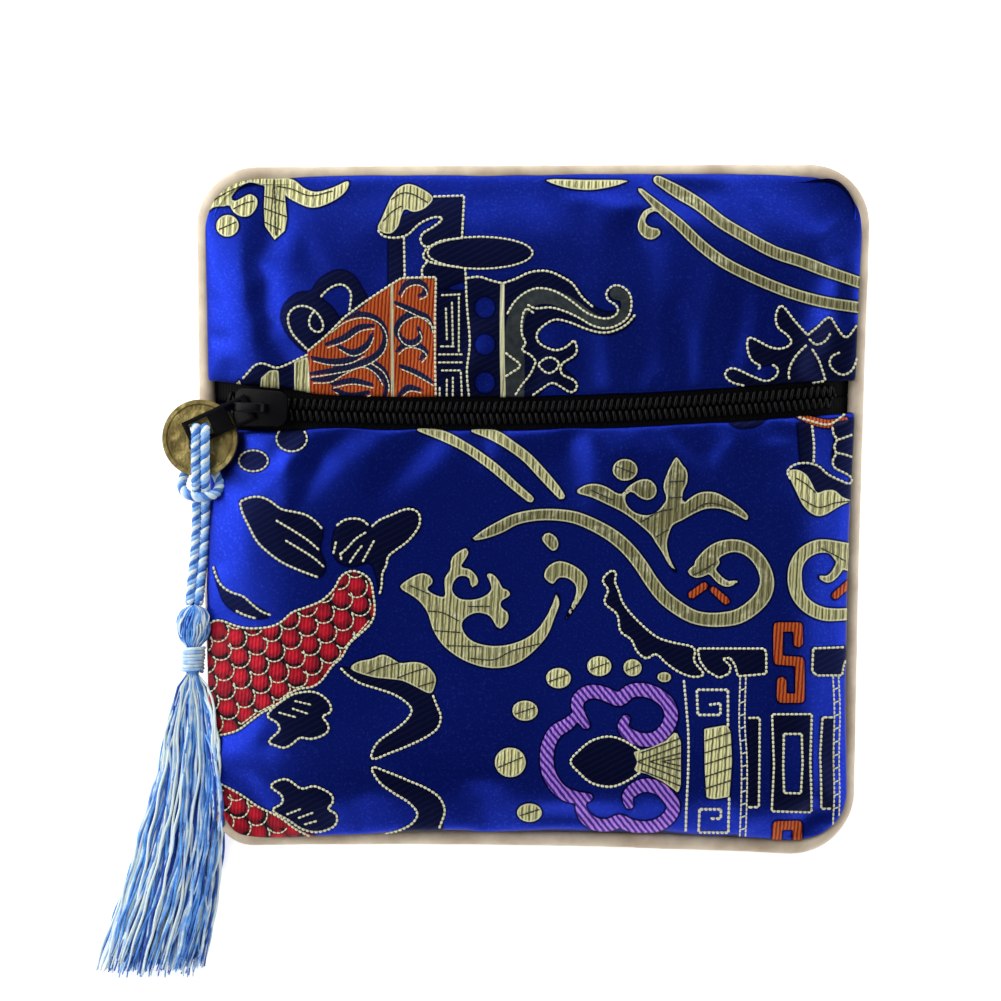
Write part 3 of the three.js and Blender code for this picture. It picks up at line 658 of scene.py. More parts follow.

# Brocade: gold, navy, red, purple and orange floats on the blue ground, in an old cloud, carp and fret
# pattern. Each motif is charted in photograph pixels, as a smooth outline, a band or an oval.
motifs = []          # colour, tone from 0 dull to 1 pale, and how far inside its edge a place is
carp_bodies = []
threads = []         # colour, line, width in pixels
float_colors = ("gold", "navy", "red", "purple", "orange", "grey")


def polygon_depth(places, outline):
    """How far inside a closed outline each place is, and less than 0 outside it."""
    a, b = outline, np.roll(outline, -1, axis=0)
    near = np.full(len(places), np.inf)
    inside = np.zeros(len(places), bool)
    for (ax, ay), (bx, by) in zip(a, b):
        dx, dy = bx - ax, by - ay
        px, py = places[:, 0] - ax, places[:, 1] - ay
        share = np.clip((px * dx + py * dy) / max(dx * dx + dy * dy, 1e-9), 0, 1)
        near = np.minimum(near, (px - share * dx) ** 2 + (py - share * dy) ** 2)
        if ay != by:
            inside ^= ((ay > places[:, 1]) != (by > places[:, 1])) & (px < (places[:, 1] - ay) * dx / dy)
    return np.where(inside, 1, -1) * np.sqrt(near)


def band_depth(places, line, widths):
    best = np.full(len(places), -np.inf)
    for (ax, ay), (bx, by), wide, after in zip(line, line[1:], widths, widths[1:]):
        dx, dy = bx - ax, by - ay
        px, py = places[:, 0] - ax, places[:, 1] - ay
        share = np.clip((px * dx + py * dy) / max(dx * dx + dy * dy, 1e-9), 0, 1)
        far = np.hypot(px - share * dx, py - share * dy)
        best = np.maximum(best, (wide + (after - wide) * share) / 2 - far)
    return best


def flat_points(numbers):
    return np.array(numbers, float).reshape(-1, 2)


def fill(color, *numbers, tone=0.5, sharp=False, outline=None):
    points = flat_points(numbers)
    edge = points if sharp else curve_through(points, 3, closed=True)
    motifs.append((color, tone, edge, None))
    if outline:
        thread(outline, *numbers, closed=True, sharp=sharp)
    return edge


def band(color, *numbers, widths, tone=0.5, sharp=False):
    points = flat_points(numbers)
    widths = np.interp(np.linspace(0, 1, len(points)), np.linspace(0, 1, len(widths)), widths)
    both = np.column_stack([points, widths])
    both = both if sharp else curve_through(both, 3)
    motifs.append((color, tone, both[:, :2], both[:, 2]))


def oval(color, x, y, rx, ry, tone=0.5, outline=None, slash=0):
    turn = np.arange(20) * np.pi / 10
    ring = np.stack([x + rx * np.cos(turn), y + ry * np.sin(turn)], 1)
    motifs.append((color, tone, ring, None))
    if outline:
        threads.append((outline, np.vstack([ring, ring[:1]]), 2.6))
    if slash:
        far, rise = 0.8 * rx, 0.35 * slash * ry
        thread("dark", x - far, y + rise, x, y, x + far, y - rise, width=1.8)


def thread(color, *numbers, closed=False, sharp=False, width=3.0):
    points = flat_points(numbers)
    line = points if sharp else curve_through(points, 6, closed)
    line = np.vstack([line, line[:1]]) if closed else line
    stretches = [np.array(pair) for pair in zip(line, line[1:])] if sharp else [line]
    threads.extend((color, stretch, width) for stretch in stretches)


def ladder(*numbers, half=2.8, pitch=13.0):
    """Two thin threads side by side with short ones across them, as on a column's edges."""
    points = flat_points(numbers)
    for shift in (-half, half):
        thread("ivory", *(points + (shift, 0)).ravel(), width=2.2)
    rungs, _ = even_steps(points, pitch)
    for x, y in rungs[1:-1]:
        thread("ivory", x - half, y + 1, x + half, y - 1, sharp=True, width=1.8)


# Upper left: a cloud tip in the corner, a hanging strip, a crescent and a dark cloud curl
fill("gold", 200, 219, 213, 207, 228, 205, 231, 197, 238, 188, 250, 182, 264, 185, 268, 178, 250, 178, 225,
     184, 208, 198, 199, 212, tone=1.05)
fill("gold", 229, 197, 234, 201, 243, 197, 250, 194, 257, 199, 256, 208, 249, 216, 240, 216, 232, 210,
     tone=1.05)
oval("gold", 227.5, 225.8, 11.4, 11, tone=0.9, slash=1)
fill("gold", 265, 178, 284, 178, 285, 198, 287, 218, 285, 231, 275, 240, 265, 226, 264, 208, tone=0.9,
     sharp=True)
fill("gold", 283, 178, 294, 180, 304, 188, 316, 192, 332, 188, 349, 181, 346, 191, 332, 202, 313, 208, 298,
     203, 286, 195, tone=1.05)
for numbers in ((264, 196, 285, 202), (263, 208, 287, 217), (264, 222, 281, 230), (274, 179, 276, 236),
                (277, 186, 292, 189, 310, 196, 333, 191), (233, 209, 245, 203, 254, 201),
                (206, 207, 218, 197, 240, 186)):
    thread("dark", *numbers, width=1.8)
fill("navy", 308, 352, 296, 343, 286, 330, 282, 316, 287, 303, 299, 294, 312, 292, 318, 283, 328, 275, 342,
     271, 354, 277, 362, 289, 368, 303, 352, 312, 352, 292, 343, 286, 331, 289, 321, 298, 331, 307, 338, 317,
     340, 325, 325, 338)
thread("ivory", 308, 350, 292, 332, 289, 316, 296, 308, 307, 307, 317, 313, 324, 325, 322, 332, 315, 332, 310,
       326, 311, 317, 315, 312)
thread("ivory", 321, 298, 330, 289, 342, 285, 351, 292, 351, 305, 350, 312)

# Upper middle: a gold cap over dark wings, an oval, an orange drum, a fret column and a scroll with a grey trunk
fill("gold", 409, 184, 422, 189, 433, 198, 428, 206, 420, 211, 412, 212, 405, 209, 401, 217, 398, 227, 391,
     234, 383, 233, 378, 229, 382, 219, 387, 207, 392, 196, 400, 187, tone=0.85)
for numbers in ((383, 222, 392, 212, 402, 206), (391, 200, 402, 193, 412, 194, 428, 203)):
    thread("dark", *numbers, width=1.8)
fill("navy", 402, 217, 412, 213, 428, 207, 433, 199, 463, 198, 463, 268, 466, 280, 452, 285, 441, 291, 434,
     279, 424, 278, 422, 270, 427, 262, 423, 256, 427, 249, 421, 243, 422, 234, 443, 220, 436, 217, 420, 224,
     407, 236, 394, 239, 380, 235, 391, 235, 398, 228, sharp=True)
thread("ivory", 378, 230, 382, 236, 394, 238.5, 407, 236, 420, 224, 436, 217.5, 443, 219, 433, 228, 422, 235,
       421, 243, 427, 248, 440, 242, 460, 239)
thread("ivory", 433, 197, 464, 196, 462, 240, sharp=True)
thread("ivory", 427, 249, 423, 257, 428, 262, 445, 266, 460, 268)
thread("ivory", 428, 262, 422, 270, 423, 278)
fill("navy", 389, 239, 404, 237, 404, 279, 389, 286, sharp=True)
thread("ivory", 404, 237, 405, 278)
oval("navy", 480, 253.5, 53, 16, outline="ivory")
drum = (308, 352, 325, 338, 345, 318, 365, 303, 392, 285, 402, 279, 436, 278, 437, 398, 309, 398)
fill("orange", *drum, sharp=True)
thread("ivory", *drum[:14], sharp=True)
thread("ivory", 436, 278, 435, 330, 436, 396)
for numbers in (
    (330, 330, 345, 319, 365, 315, 380, 322, 386, 336, 382, 350, 370, 360, 350, 367, 325, 372, 310, 374),
    (370, 360, 383, 370, 388, 385, 384, 398), (326, 345, 345, 338, 360, 328, 374, 326),
    (338, 346, 352, 353, 367, 346, 373, 334), (312, 358, 330, 362, 350, 360, 364, 353),
    (312, 380, 330, 379, 342, 372, 362, 364, 376, 372, 382, 383), (332, 385, 352, 381, 373, 385),
    (334, 389, 350, 396, 370, 392), (400, 295, 405, 286, 415, 282, 424, 286, 426, 293, 418, 297),
    (395, 303, 410, 310, 425, 318, 433, 326),
    (432, 331, 428, 318, 415, 314, 402, 320, 397, 331, 403, 341, 413, 343, 421, 336, 418, 328),
    (397, 352, 405, 345, 418, 346, 426, 353, 420, 360), (400, 366, 412, 371, 425, 378, 433, 383),
    (399, 396, 408, 388, 421, 390),
):
    band("navy", *numbers, widths=(3.5, 6, 6.5, 6, 3.5))
    thread("ivory", *(value + (3.6 if k % 2 else 1.6) for k, value in enumerate(numbers)), width=1.7)
band("gold", 392, 285, 392, 340, 393, 398, widths=(3.4, 3.4), tone=0.5)
fill("navy", 437, 292, 466, 292, 467, 398, 437, 398, sharp=True)
for x, y, x2, y2 in ((441, 296, 461, 295), (446, 308, 447, 341), (452, 302, 453, 346), (459, 297, 459, 353),
                     (440, 347, 455, 347), (438, 355, 463, 355), (438, 363, 463, 363), (441, 371, 461, 371),
                     (447, 379, 447, 397), (453, 377, 453, 397), (461, 372, 462, 397), (440, 387, 440, 397)):
    thread("ivory", x, y, x2, y2, width=2.6, sharp=True)
fill("navy", 467, 279, 484, 278, 502, 285, 502, 398, 468, 398, sharp=True)
for y in (308, 345, 383):
    oval("blue", 485, y, 11.5, 12)
thread("ivory", 465, 268, 466, 279, 467, 305, 470, 345, 467, 372, 469, 397)
thread("ivory", 466, 279, 480, 277.5, 490, 281, 502, 284)
band("gold", 502.5, 284, 502, 330, 503, 398, widths=(4, 5), tone=0.8)
fill("navy", 504, 284, 515, 279, 530, 272, 548, 271, 563, 277, 573, 284, 583, 297, 594, 308, 606, 313, 617,
     312, 634, 317, 626, 327, 612, 334, 598, 334, 580, 328, 562, 321, 546, 324, 538, 331, 538, 341, 548, 348,
     560, 350, 573, 342, 577, 355, 562, 367, 575, 380, 577, 388, 572, 394, 552, 384, 532, 398, 504, 398)
band("grey", 514, 398, 515, 362, 514, 332, 520, 310, 534, 298, 550, 297, 570, 305, 586, 316, 602, 323, 617,
     320, 625, 309, 624, 298, 616, 294, widths=(20, 19, 18, 16, 16, 15, 14, 12, 10, 9, 9, 10, 13))
for numbers in (
    (503, 284, 515, 280, 530, 273, 548, 272, 562, 278, 572, 284, 582, 298, 593, 308),
    (507, 315, 514, 303, 524, 294, 536, 289, 549, 290, 561, 295, 573, 303, 586, 313, 601, 319, 612, 318, 618,
     312, 616, 306, 607, 300, 606, 293, 614, 286, 623, 288, 630, 296, 631, 306, 628, 317, 617, 326, 605, 329,
     592, 326, 580, 319, 565, 312, 550, 308, 535, 309, 527, 305),
    (534, 314, 526, 309, 522, 320, 522, 336, 526, 344, 521, 350, 530, 355, 536, 362),
    (635, 315, 626, 325, 612, 332, 600, 333, 585, 329, 570, 323, 555, 320, 545, 325, 537, 333, 537, 341, 546,
     348, 557, 351, 567, 347, 574, 341, 576, 354, 561, 365, 561, 374, 574, 381, 577, 387, 572, 393, 562, 388,
     552, 383, 542, 389, 532, 396),
    (538, 365, 545, 359, 552, 358, 559, 364, 556, 370, 549, 374, 543, 371, 538, 365),
    (505, 353, 514, 360, 521, 366, 513, 372, 505, 377), (536, 362, 530, 375, 522, 385, 515, 396),
):
    thread("ivory", *numbers)
fill("gold", 546, 180, 586, 180, 628, 181, 610, 187, 588, 190, 564, 187, tone=1.0)
fill("navy", 240, 390, 246, 375, 262, 363, 277, 368, 300, 359, 309, 355, 309, 398, 232, 398, sharp=True)
fill("gold", 229, 391, 240, 380, 244, 393, tone=0.9, sharp=True)
fill("gold", 260, 392, 262, 378, 270, 371, 279, 370, 280, 392, tone=0.7, sharp=True)
fill("gold", 295, 362, 309, 357, 311, 398, 295, 398, tone=0.7, sharp=True)
thread("ivory", 243, 379, 248, 374, 255, 366, 262, 363.5, 270, 366, 277, 368.5, 300, 359, 309, 355)

# Upper right: two parallel gold bands with a hook, and a dark crown of leaves at the zipper
band("gold", 658, 180, 678, 192, 699, 205, 720, 222, 742, 235.5, 774, 253, 800, 261.5, 822, 270, 843, 277,
     864, 284, widths=(9, 13, 12, 12, 12, 12, 12, 11, 11), tone=0.48)
band("gold", 640, 190, 657, 206, 678, 224, 700, 245.5, 723, 263, 750, 277, 774, 287.5, 798, 296, 822, 302,
     863, 308, widths=(4, 9, 11, 11, 11, 11, 11, 11, 11), tone=0.45)
band("gold", 655, 209, 646, 213, 642, 221, 643, 229, 650, 234, 656, 233, widths=(4, 5, 6, 10, 12, 8),
     tone=0.6)
fill("navy", 781, 306, 775, 316, 777, 328, 786, 336, 791, 343, 782, 349, 770, 348, 758, 342, 748, 338, 746,
     350, 752, 362, 762, 366, 771, 364, 777, 368, 776, 376, 766, 382, 750, 377, 730, 369, 724, 375, 730, 382,
     745, 387, 790, 385, 858, 383, 858, 325, 846, 338, 830, 317, 806, 335, 794, 321, sharp=True)
for numbers in (
    (806, 335, 794, 322, 780, 306, 775, 316, 777, 328, 786, 335, 791, 343, 782, 349, 770, 348, 758, 342, 748,
     338, 747, 350, 752, 362, 760, 366, 757, 370), (806, 336, 816, 328, 829, 317, 836, 327, 846, 338, 857, 325),
    (808, 339, 815, 345, 825, 341, 830, 333), (771, 365, 777, 368, 776, 376, 766, 381.5, 752, 377, 730, 368.5, 724, 375,
     730, 382, 744, 386), (806, 345, 796, 355, 789, 367, 788, 378, 791, 384),
                (811, 349, 818, 360, 822, 371, 825, 381), (840, 352.5, 831, 357, 829, 364, 833, 370, 842, 375, 851, 371, 856, 360, 857, 349), (803, 384, 824, 381),
):
    thread("ivory", *numbers)

# Below the zipper on the left: two dark ovals, the tails and fins of two carp, and the carp in red scales
oval("navy", 292.4, 438.9, 15.4, 12.8, outline="ivory")
oval("navy", 254, 461, 15, 10.7, outline="ivory")
fill("navy", 241, 501, 250, 498, 261, 497, 271, 501, 282, 509, 307, 515, 323, 529, 320, 549, 326, 567, 319,
     577, 298, 569, 283, 562, 268, 551, 258, 541, 250, 526, 243, 511)
for numbers in ((241, 502, 250, 498, 261, 497, 271, 501, 282, 509, 295, 512, 307, 515, 317, 522, 323, 529),
                (241, 502, 243, 511, 250, 526, 258, 541, 268, 551, 283, 562, 298, 569, 319, 577),
                (276.6, 520, 295, 531, 310, 541, 320, 550), (286, 540, 301, 549, 315, 558, 325, 567)):
    thread("ivory", *numbers)
fill("navy", 338, 526, 346, 520, 356, 518, 366, 521, 372, 527, 385, 518, 402, 510, 412, 508, 420, 514, 420,
     527, 414, 536, 397, 550, 388, 558, 384, 571, 381, 594, 377, 575, 371, 562, 352, 566, 338, 560, 333, 545)
for numbers in ((337, 526, 345, 520, 355, 518.5, 363, 520, 369, 525.5),
                (372, 527, 380, 520, 392, 515, 402, 510.5, 411, 509, 419, 513, 420, 524, 415, 533, 407, 542,
                 396, 550, 388, 557, 387, 565, 383, 572, 382, 586, 380, 594),
                (367, 532, 356, 539, 348, 548, 341, 554), (375, 540, 370, 549, 363, 562),
                (363, 545, 356, 554, 350, 563), (337, 541, 334, 554), (341, 552, 342, 560)):
    thread("ivory", *numbers)
fill("navy", 214, 566, 222, 586, 232, 593, 245, 598, 256, 606, 270, 615, 256, 618, 236, 611, 224, 600)
thread("ivory", 214, 566, 217, 576, 222, 585, 232, 592, 244, 596, 253, 604, 262, 611, 272, 615)
thread("ivory", 236.5, 610, 244, 614, 257, 618)
carp_bodies.append(fill(
    "red", 203, 650, 208, 626, 218, 620, 238, 626, 250, 628, 273, 626, 283, 621, 293, 612, 307, 607, 323, 600,
                        336, 587, 341, 577, 350, 571, 360, 572, 370, 579, 373.5, 592, 375, 613, 371, 623, 361,
                        633, 350, 643, 342, 657, 333, 665, 322, 680, 313, 686, 300, 688, 290, 693, 283, 700,
                        273, 706.5, 262, 712.5, 250, 721.5, 240, 729, 230, 733, 218, 735, 204, 735,
                        outline="ivory"))
carp_bodies.append(fill(
    "red", 210, 778, 225, 786, 242, 795, 258, 806, 280, 816.5, 295, 828, 318, 837, 318, 845, 205, 845,
                        sharp=True))
thread("ivory", 212, 780, 225, 786, 242, 795, 258, 806, 280, 816.5, 295, 828, 310, 836)
fill("navy", 291, 695, 303, 691.5, 316, 691.5, 325, 696.5, 331, 704, 331.5, 711, 322.5, 716, 328, 722, 329,
     730, 320, 736, 310, 738, 301, 736.5, 293, 743, 285, 747, 275, 744, 269, 741.5, 275, 735, 281, 729, 278,
     721.5, 268, 715.5, outline="ivory")
fill("navy", 271.5, 785, 286.5, 778, 303, 788, 313, 785, 323, 788, 333, 795, 332.5, 803, 327.5, 807.5, 336.5,
     813, 336.5, 823, 330, 828, 316.5, 831.5, 301.5, 828, 290, 820, 273, 809, 283, 802.5, 283, 795,
     outline="ivory")
for numbers in ((295, 700, 312, 704), (292.5, 707.5, 309, 713), (279, 711.5, 297, 716.5),
                (286.5, 814, 301.5, 808), (298, 817.5, 314, 811.5), (304, 824, 317.5, 820)):
    thread("ivory", *numbers, sharp=True, width=2.6)

# Between the carp and the clouds: a gold leaf and two dark swooshes that mirror each other
fill("gold", 351, 667.5, 358, 661.5, 373, 658, 383, 654, 392, 657.5, 400, 662.5, 412, 661.5, 422, 662.5, 430,
     667.5, 436, 677, 435, 685, 431, 692.5, 417, 686.5, 403, 680, 388, 678, 372, 676, tone=0.75)
for numbers in ((367, 673, 384, 666, 400, 662), (397, 677.5, 414, 671, 428, 667), (418, 686, 435, 681)):
    thread("dark", *numbers, width=1.8)
fill("navy", 341, 667, 351, 669, 372, 677, 388, 679, 403, 681, 417, 688, 433, 694, 437, 705, 441, 715, 438,
     727, 428, 735, 410, 744, 390, 752, 372, 758, 375, 746, 382, 738, 397, 728, 408, 718, 413, 709, 405, 700,
     393, 693, 375, 687, 360, 682, 348, 674)
thread("ivory", 341, 667, 348, 674, 360, 682, 375, 687, 393, 693, 405, 700, 412.5, 709, 408, 718, 397, 728,
       382, 738, 375, 746, 372, 758, 390, 752, 410, 744, 428, 735, 438, 727, 441, 715, 437, 705, 433, 694)
fill("navy", 372, 766, 388, 771, 410, 780, 428, 788, 440, 797, 445, 810, 442, 822, 440, 842, 380, 842, 398,
     831, 412, 823, 418, 813, 410, 802, 393, 791, 380, 781)
thread("ivory", 385, 833, 398, 830, 412, 823, 418, 813, 410, 802, 393, 791, 380, 781, 372, 766, 388, 771, 410,
       780, 428, 788, 440, 797, 445, 810, 442, 820, 439, 828)

# Middle: two gold bands from the zipper, a cloud scroll, a hook, and the long gold scroll
band("gold", 419, 430, 442, 435.5, 463, 446, 480, 457, 497, 470, 514.5, 486, 530, 499,
     widths=(3, 10, 9, 9, 9, 8, 7), tone=0.8)
band("gold", 473, 431, 494, 435.5, 511, 446, 527, 458, 542, 474, 554, 487.5, 561, 496,
     widths=(3, 11, 10, 10, 10, 9, 7), tone=0.8)
fill("gold", 400.5, 587, 409, 579, 423, 573, 431.5, 577, 432.5, 583, 427, 588, 434, 594, 445, 596.5, 445, 586,
     445.5, 577, 450.5, 570, 452, 558.5, 459, 551.5, 467.5, 548, 468, 554, 464, 561, 461, 567, 469.5, 569,
     476.5, 576, 478, 582.5, 472, 587, 469, 577, 459, 576, 453, 583, 452.5, 591, 459, 598, 471.5, 599.5,
     483.5, 596.5, 491.5, 589.5, 490, 581, 487, 574, 492, 573.5, 499, 581, 502.5, 588, 509, 590.5, 509.5, 595,
     501, 601, 501, 607, 507.5, 612, 507.5, 621, 499, 628.5, 495.5, 624, 490, 615.5, 478, 612, 468, 615.5,
     462, 622.5, 463.5, 631, 471.5, 640, 487, 645, 504, 645, 521.5, 640, 535.5, 631, 546, 617, 552.5, 603.5,
     557, 593, 559, 603, 554.5, 616, 547.5, 634, 537, 647, 523, 659, 507.5, 666, 488.5, 667, 469.5, 662, 454,
     653.5, 442, 643, 433, 628, 428, 612, 419, 600, 409, 593, tone=0.75)
for numbers in ((428, 610.5, 442, 612, 459, 620.5), (434, 630, 461, 632), (446, 645, 482, 646),
                (470, 657.5, 494, 659, 511, 650.5, 540, 643), (410, 585, 430, 594), (468, 606, 490, 606)):
    thread("dark", *numbers, width=1.8)
fill("gold", 544, 576, 549, 565.5, 559.5, 561, 573.5, 565.5, 584, 574, 587, 582, 582, 595, 573.5, 608.5, 566,
     618, 572, 603.5, 576, 593, 575, 584, 566.5, 577.5, 558, 577.5, 552.5, 583.5, tone=0.6)
fill("gold", 542, 538, 547.5, 532.5, 556, 537.5, 558, 545, 554, 551, 546, 545, tone=0.5)
band("gold", 474, 539, 485, 534, 501, 526.5, 514.5, 519.5, 532, 515.5, 551, 514.5, 575, 517.5, 598.5, 527.5,
     614, 537, 627.5, 549, 640, 564.5, 651, 581.5, 663, 596.5, 678.5, 608.5, 692, 616, 706, 619, 721.5, 619,
     737, 616, 751, 607.5, 762, 595.5, 766, 583, 764, 571, 757, 558.5, 746, 549, 734, 545.5, 720, 548, 709,
     555.5, 702, 564, widths=(3, 12, 11, 11, 12, 13, 13, 13, 14, 13, 14, 15, 15, 13, 12, 12, 15, 16),
     tone=0.45)
fill("gold", 687, 571.5, 699, 561.5, 712, 556, 719, 561, 711.5, 571, 695.5, 577.5, tone=0.45)
band("gold", 712, 572, 720, 580.5, 727, 583.5, 735, 581.5, widths=(7, 7, 3), tone=0.45)
oval("gold", 624.6, 470, 12.3, 10.8, tone=0.5, slash=-1)
fill("gold", 576, 492, 584.5, 485.5, 595.5, 484, 606, 487, 620, 494.5, 629, 486, 640, 480, 649, 480, 655.5,
     487.5, 654.5, 495.5, 647.5, 500, 638.5, 497, 631, 491.5, 624.5, 497, 626, 504.5, 634, 512.5, 646, 515.5,
     655.5, 512.5, 663, 504.5, 666, 498.5, 663, 487.5, 666, 475.5, 671, 464.5, 676, 457.5, 681, 464.5, 686,
     471, 686, 483, 682, 492, 682, 503, 691, 497, 700, 492.5, 714, 492.5, 726, 498.5, 737, 506, 747, 516, 746,
     520, 737, 515.5, 721.5, 509, 706, 508.5, 694, 513, 681.5, 520, 672, 525, 667.5, 535.5, 666, 544.5, 669,
     558.5, 675.5, 571.5, 667.5, 563, 661.5, 552, 655.5, 543, 651, 535.5, 638.5, 524, 623, 512.5, 606, 504,
     591, 497, tone=0.45)
for numbers in ((668, 482, 684, 481), (668, 498, 682, 497), (640, 522, 660, 511, 672, 509),
                (655, 537, 668, 529), (690, 512, 707, 503, 735, 510), (692, 575, 704, 569, 715, 562),
                (590, 490, 612, 500)):
    thread("dark", *numbers, width=1.8)
band("orange", 691, 594.5, 703.5, 585.5, widths=(7, 7))
band("orange", 712.5, 589.5, 725, 600.5, widths=(6, 7))

# Right edge: a gold shoe with dark cloth above it, and half of a second scroll
fill("navy", 727, 419, 765, 418, 757, 425, 745, 428, 733, 426)
band("orange", 798, 416, 812, 421, 828, 424, 845, 420, widths=(5, 8, 8, 6))
fill("navy", 797, 424, 811, 424, 813, 463, 800, 463, sharp=True)
fill("navy", 832, 422, 858, 418, 858, 503, 842, 497, 834, 490, 815, 492, 807, 476, 798, 468, 818, 466, 838,
     481, 850, 484, 852, 478, 833, 466, 832, 455, 835, 440, sharp=True)
for numbers in ((793, 416, 812, 422, 828, 425, 840, 418, 850, 411, 855, 416),
                (811, 425, 813, 445, 812.5, 463), (832, 427, 833, 435, 837, 440, 833, 447, 836, 453, 832, 460, 833, 467, 842, 472, 851, 478, 850, 484, 838, 480,
                 826, 474, 818, 466.5, 805, 463, 793, 465, 786, 472, 790, 480),
                (837, 440, 846, 437, 856, 433), (836, 453, 846, 455, 856, 459)):
    thread("ivory", *numbers)
fill("gold", 788, 471, 797, 470, 806, 475.5, 812, 486, 816, 493, 824.5, 490.5, 834, 490.5, 841.5, 497, 851,
     501, 843, 504, 834, 509, 824.5, 514.5, 817, 516, 809, 512.5, 801.5, 504.5, 795.5, 492, 790.5, 481.5,
     tone=0.85)
for numbers in ((795, 478, 805, 484, 815, 493), (800, 498.5, 818, 507.5, 834, 503, 850, 501)):
    thread("dark", *numbers, width=1.8)
band("gold", 856, 552, 838, 548, 818, 546, 803, 553, 795, 565, 793.5, 580, 797, 595, 807, 606.5, 822, 613.5,
     838, 614.5, 857, 613, widths=(14, 13, 13, 13, 13, 14, 13, 13, 13, 12, 11), tone=0.7)
fill("gold", 826, 546, 857, 548, 857, 570, 842, 569, 836, 562, tone=0.8)
band("gold", 839, 566, 834, 574, 827, 579, 819, 577, widths=(9, 8, 7, 3), tone=0.7)
thread("dark", 820, 548, 836, 556, 848, 563, width=1.8)
band("orange", 834.5, 595.5, 853, 580, widths=(7, 7))

# Lower right: dark wing and bars, a fret, a purple cloud head round a gourd, and columns with thread frames
fill("navy", 605, 575, 613, 570, 616, 574, 614, 580, 618, 590, 622, 602, 631, 614, 643, 626, 657, 637, 672,
     642, 694, 648, 693, 660, 703, 674, 692, 676, 678, 671, 665, 662, 655, 653, 646, 658, 636, 650, 631, 639,
     620, 631, 617, 614, 604, 602, 608, 589, 602, 581, outline="ivory")
fill("navy", 697, 648, 763, 648, 765, 652, 765, 673, 737, 675.5, 734, 664, 729, 657, 722, 658, 730, 666, 728,
     673, 718, 677, 706, 670, 699, 660, sharp=True, outline="ivory")
fill("navy", 811, 648, 854, 646, 854, 653, 847, 656, 843, 664, 842, 675, 816, 675, 811, 671, sharp=True)
thread("ivory", 854, 645, 848, 647, 812, 648, 811, 671, 816, 675, 841, 675, 843, 664, 847, 656, 853, 652,
       sharp=True)
for numbers in ((797, 642, 797, 626.5, 777, 626.5, 777, 659.5, 798.5, 661, 799, 697.5, 780.5, 697.5, 780.5,
                 681),
                (777, 843, 777, 825, 797.5, 825, 797.5, 843)):
    band("orange", *numbers, widths=(9.0, 9.0), sharp=True)
for x, y, rx, ry, tone in ((558.3, 677.4, 12.3, 10.2, 0.9), (598.9, 665.4, 12, 10, 0.9),
                           (632, 667, 9, 8.5, 0.85), (663.6, 676.4, 6.8, 5, 0.6),
                           (525, 709.8, 12.7, 10, 0.85), (510.3, 761.3, 15.4, 14.8, 1.0),
                           (529.4, 812, 12.3, 9.5, 0.85)):
    oval("gold", x, y, rx, ry, tone=tone, slash=1 if rx > 8 else 0)
for numbers in (
    (585.5, 724, 579.5, 714, 577, 701, 586, 692, 597, 691, 608, 694.5, 619, 698.5, 629.5, 690.5, 642, 689,
     656, 693.5, 667.5, 703.5, 670.5, 716, 665, 729, 653.5, 738, 639.5, 738.5, 627, 732.5, 622.5, 725.5,
     625.5, 718),
    (579, 712, 567.5, 723, 556, 730, 549, 741.5, 546.5, 756, 548, 770, 553.5, 782, 563, 792, 576, 796.5, 588,
     796.5),
    (583, 797, 580.5, 806, 586, 817.5, 597, 824.5, 610, 824.5, 619.5, 820.5, 629.5, 825, 643.5, 827.5, 657.5,
     825, 669, 816, 673, 806, 667.5, 795, 657.5, 787, 645, 784, 634, 788, 627, 796, 629, 804),
):
    band("purple", *numbers, widths=(8, 13, 13, 13, 13, 13, 13, 8))
fill("navy", 570, 760.5, 578.5, 750, 590, 740.5, 603, 736, 613, 736, 624, 740, 637, 749, 637, 772, 627, 779.5,
     614, 785, 603, 785, 590, 781, 578.5, 771)
thread("ivory", 640, 750, 624, 740, 613, 736, 603, 736, 590, 740.5, 578.5, 750, 570, 760.5, 578.5, 771, 590,
       781, 603, 785, 614, 785, 627, 779.5, 640, 771)
fill("gold", 633, 751, 649, 747, 665, 740, 675.5, 730, 678, 736, 680, 741, 680, 784, 677.5, 792, 673, 788,
     660.5, 779.5, 646, 772.5, 633, 770, 637, 761, tone=0.9, sharp=True)
for apex, top, foot in ((637, 744, 778), (649, 752, 770), (661, 757, 765)):
    thread("dark", 680, top, apex, 760.5, 680, foot, sharp=True, width=2.0)
thread("dark", 640, 752, 680, 737, sharp=True, width=2.0)
thread("dark", 640, 769, 680, 785, sharp=True, width=2.0)
thread("ivory", 683, 679, 685, 700, 687.5, 732, 687.5, 768, 686, 804, 685.5, 840, width=3.4)
thread("ivory", 708, 704, 719.5, 702.5, 719.5, 714, 697, 714, 696, 689, 727, 689, 727, 726, sharp=True,
       width=3.6)
thread("ivory", 710, 817.5, 720.5, 817.5, 720.5, 808, 699, 808, 698.5, 831.5, 728.5, 832, 728.5, 796,
       sharp=True, width=3.6)
fill("gold", 703.5, 728, 726, 724, 729.5, 731, 731, 760, 728.5, 795.5, 715, 798, 706, 797, 704, 767, tone=1.0,
     sharp=True)
for y in (740, 752, 763.5, 776, 788):
    thread("dark", 703.5, y, 731, y - 9, sharp=True, width=2.0)
ladder(742, 676, 741, 723, 743.3, 760, 742.6, 841)
ladder(834.8, 675, 836.3, 708, 835.5, 753, 836.3, 797, 835.5, 834)
thread("ivory", 850.5, 683, 851.5, 710, 850.5, 753, 849.5, 775, 850.5, 824, width=4.0)
fill("navy", 748, 717, 758, 717, 758, 806, 748, 806, sharp=True)
thread("ivory", 747, 717, 758.5, 717, 758, 806, 747, 806, sharp=True)
fill("navy", 771, 713.5, 810.5, 713.5, 811, 811.5, 771, 810, sharp=True)
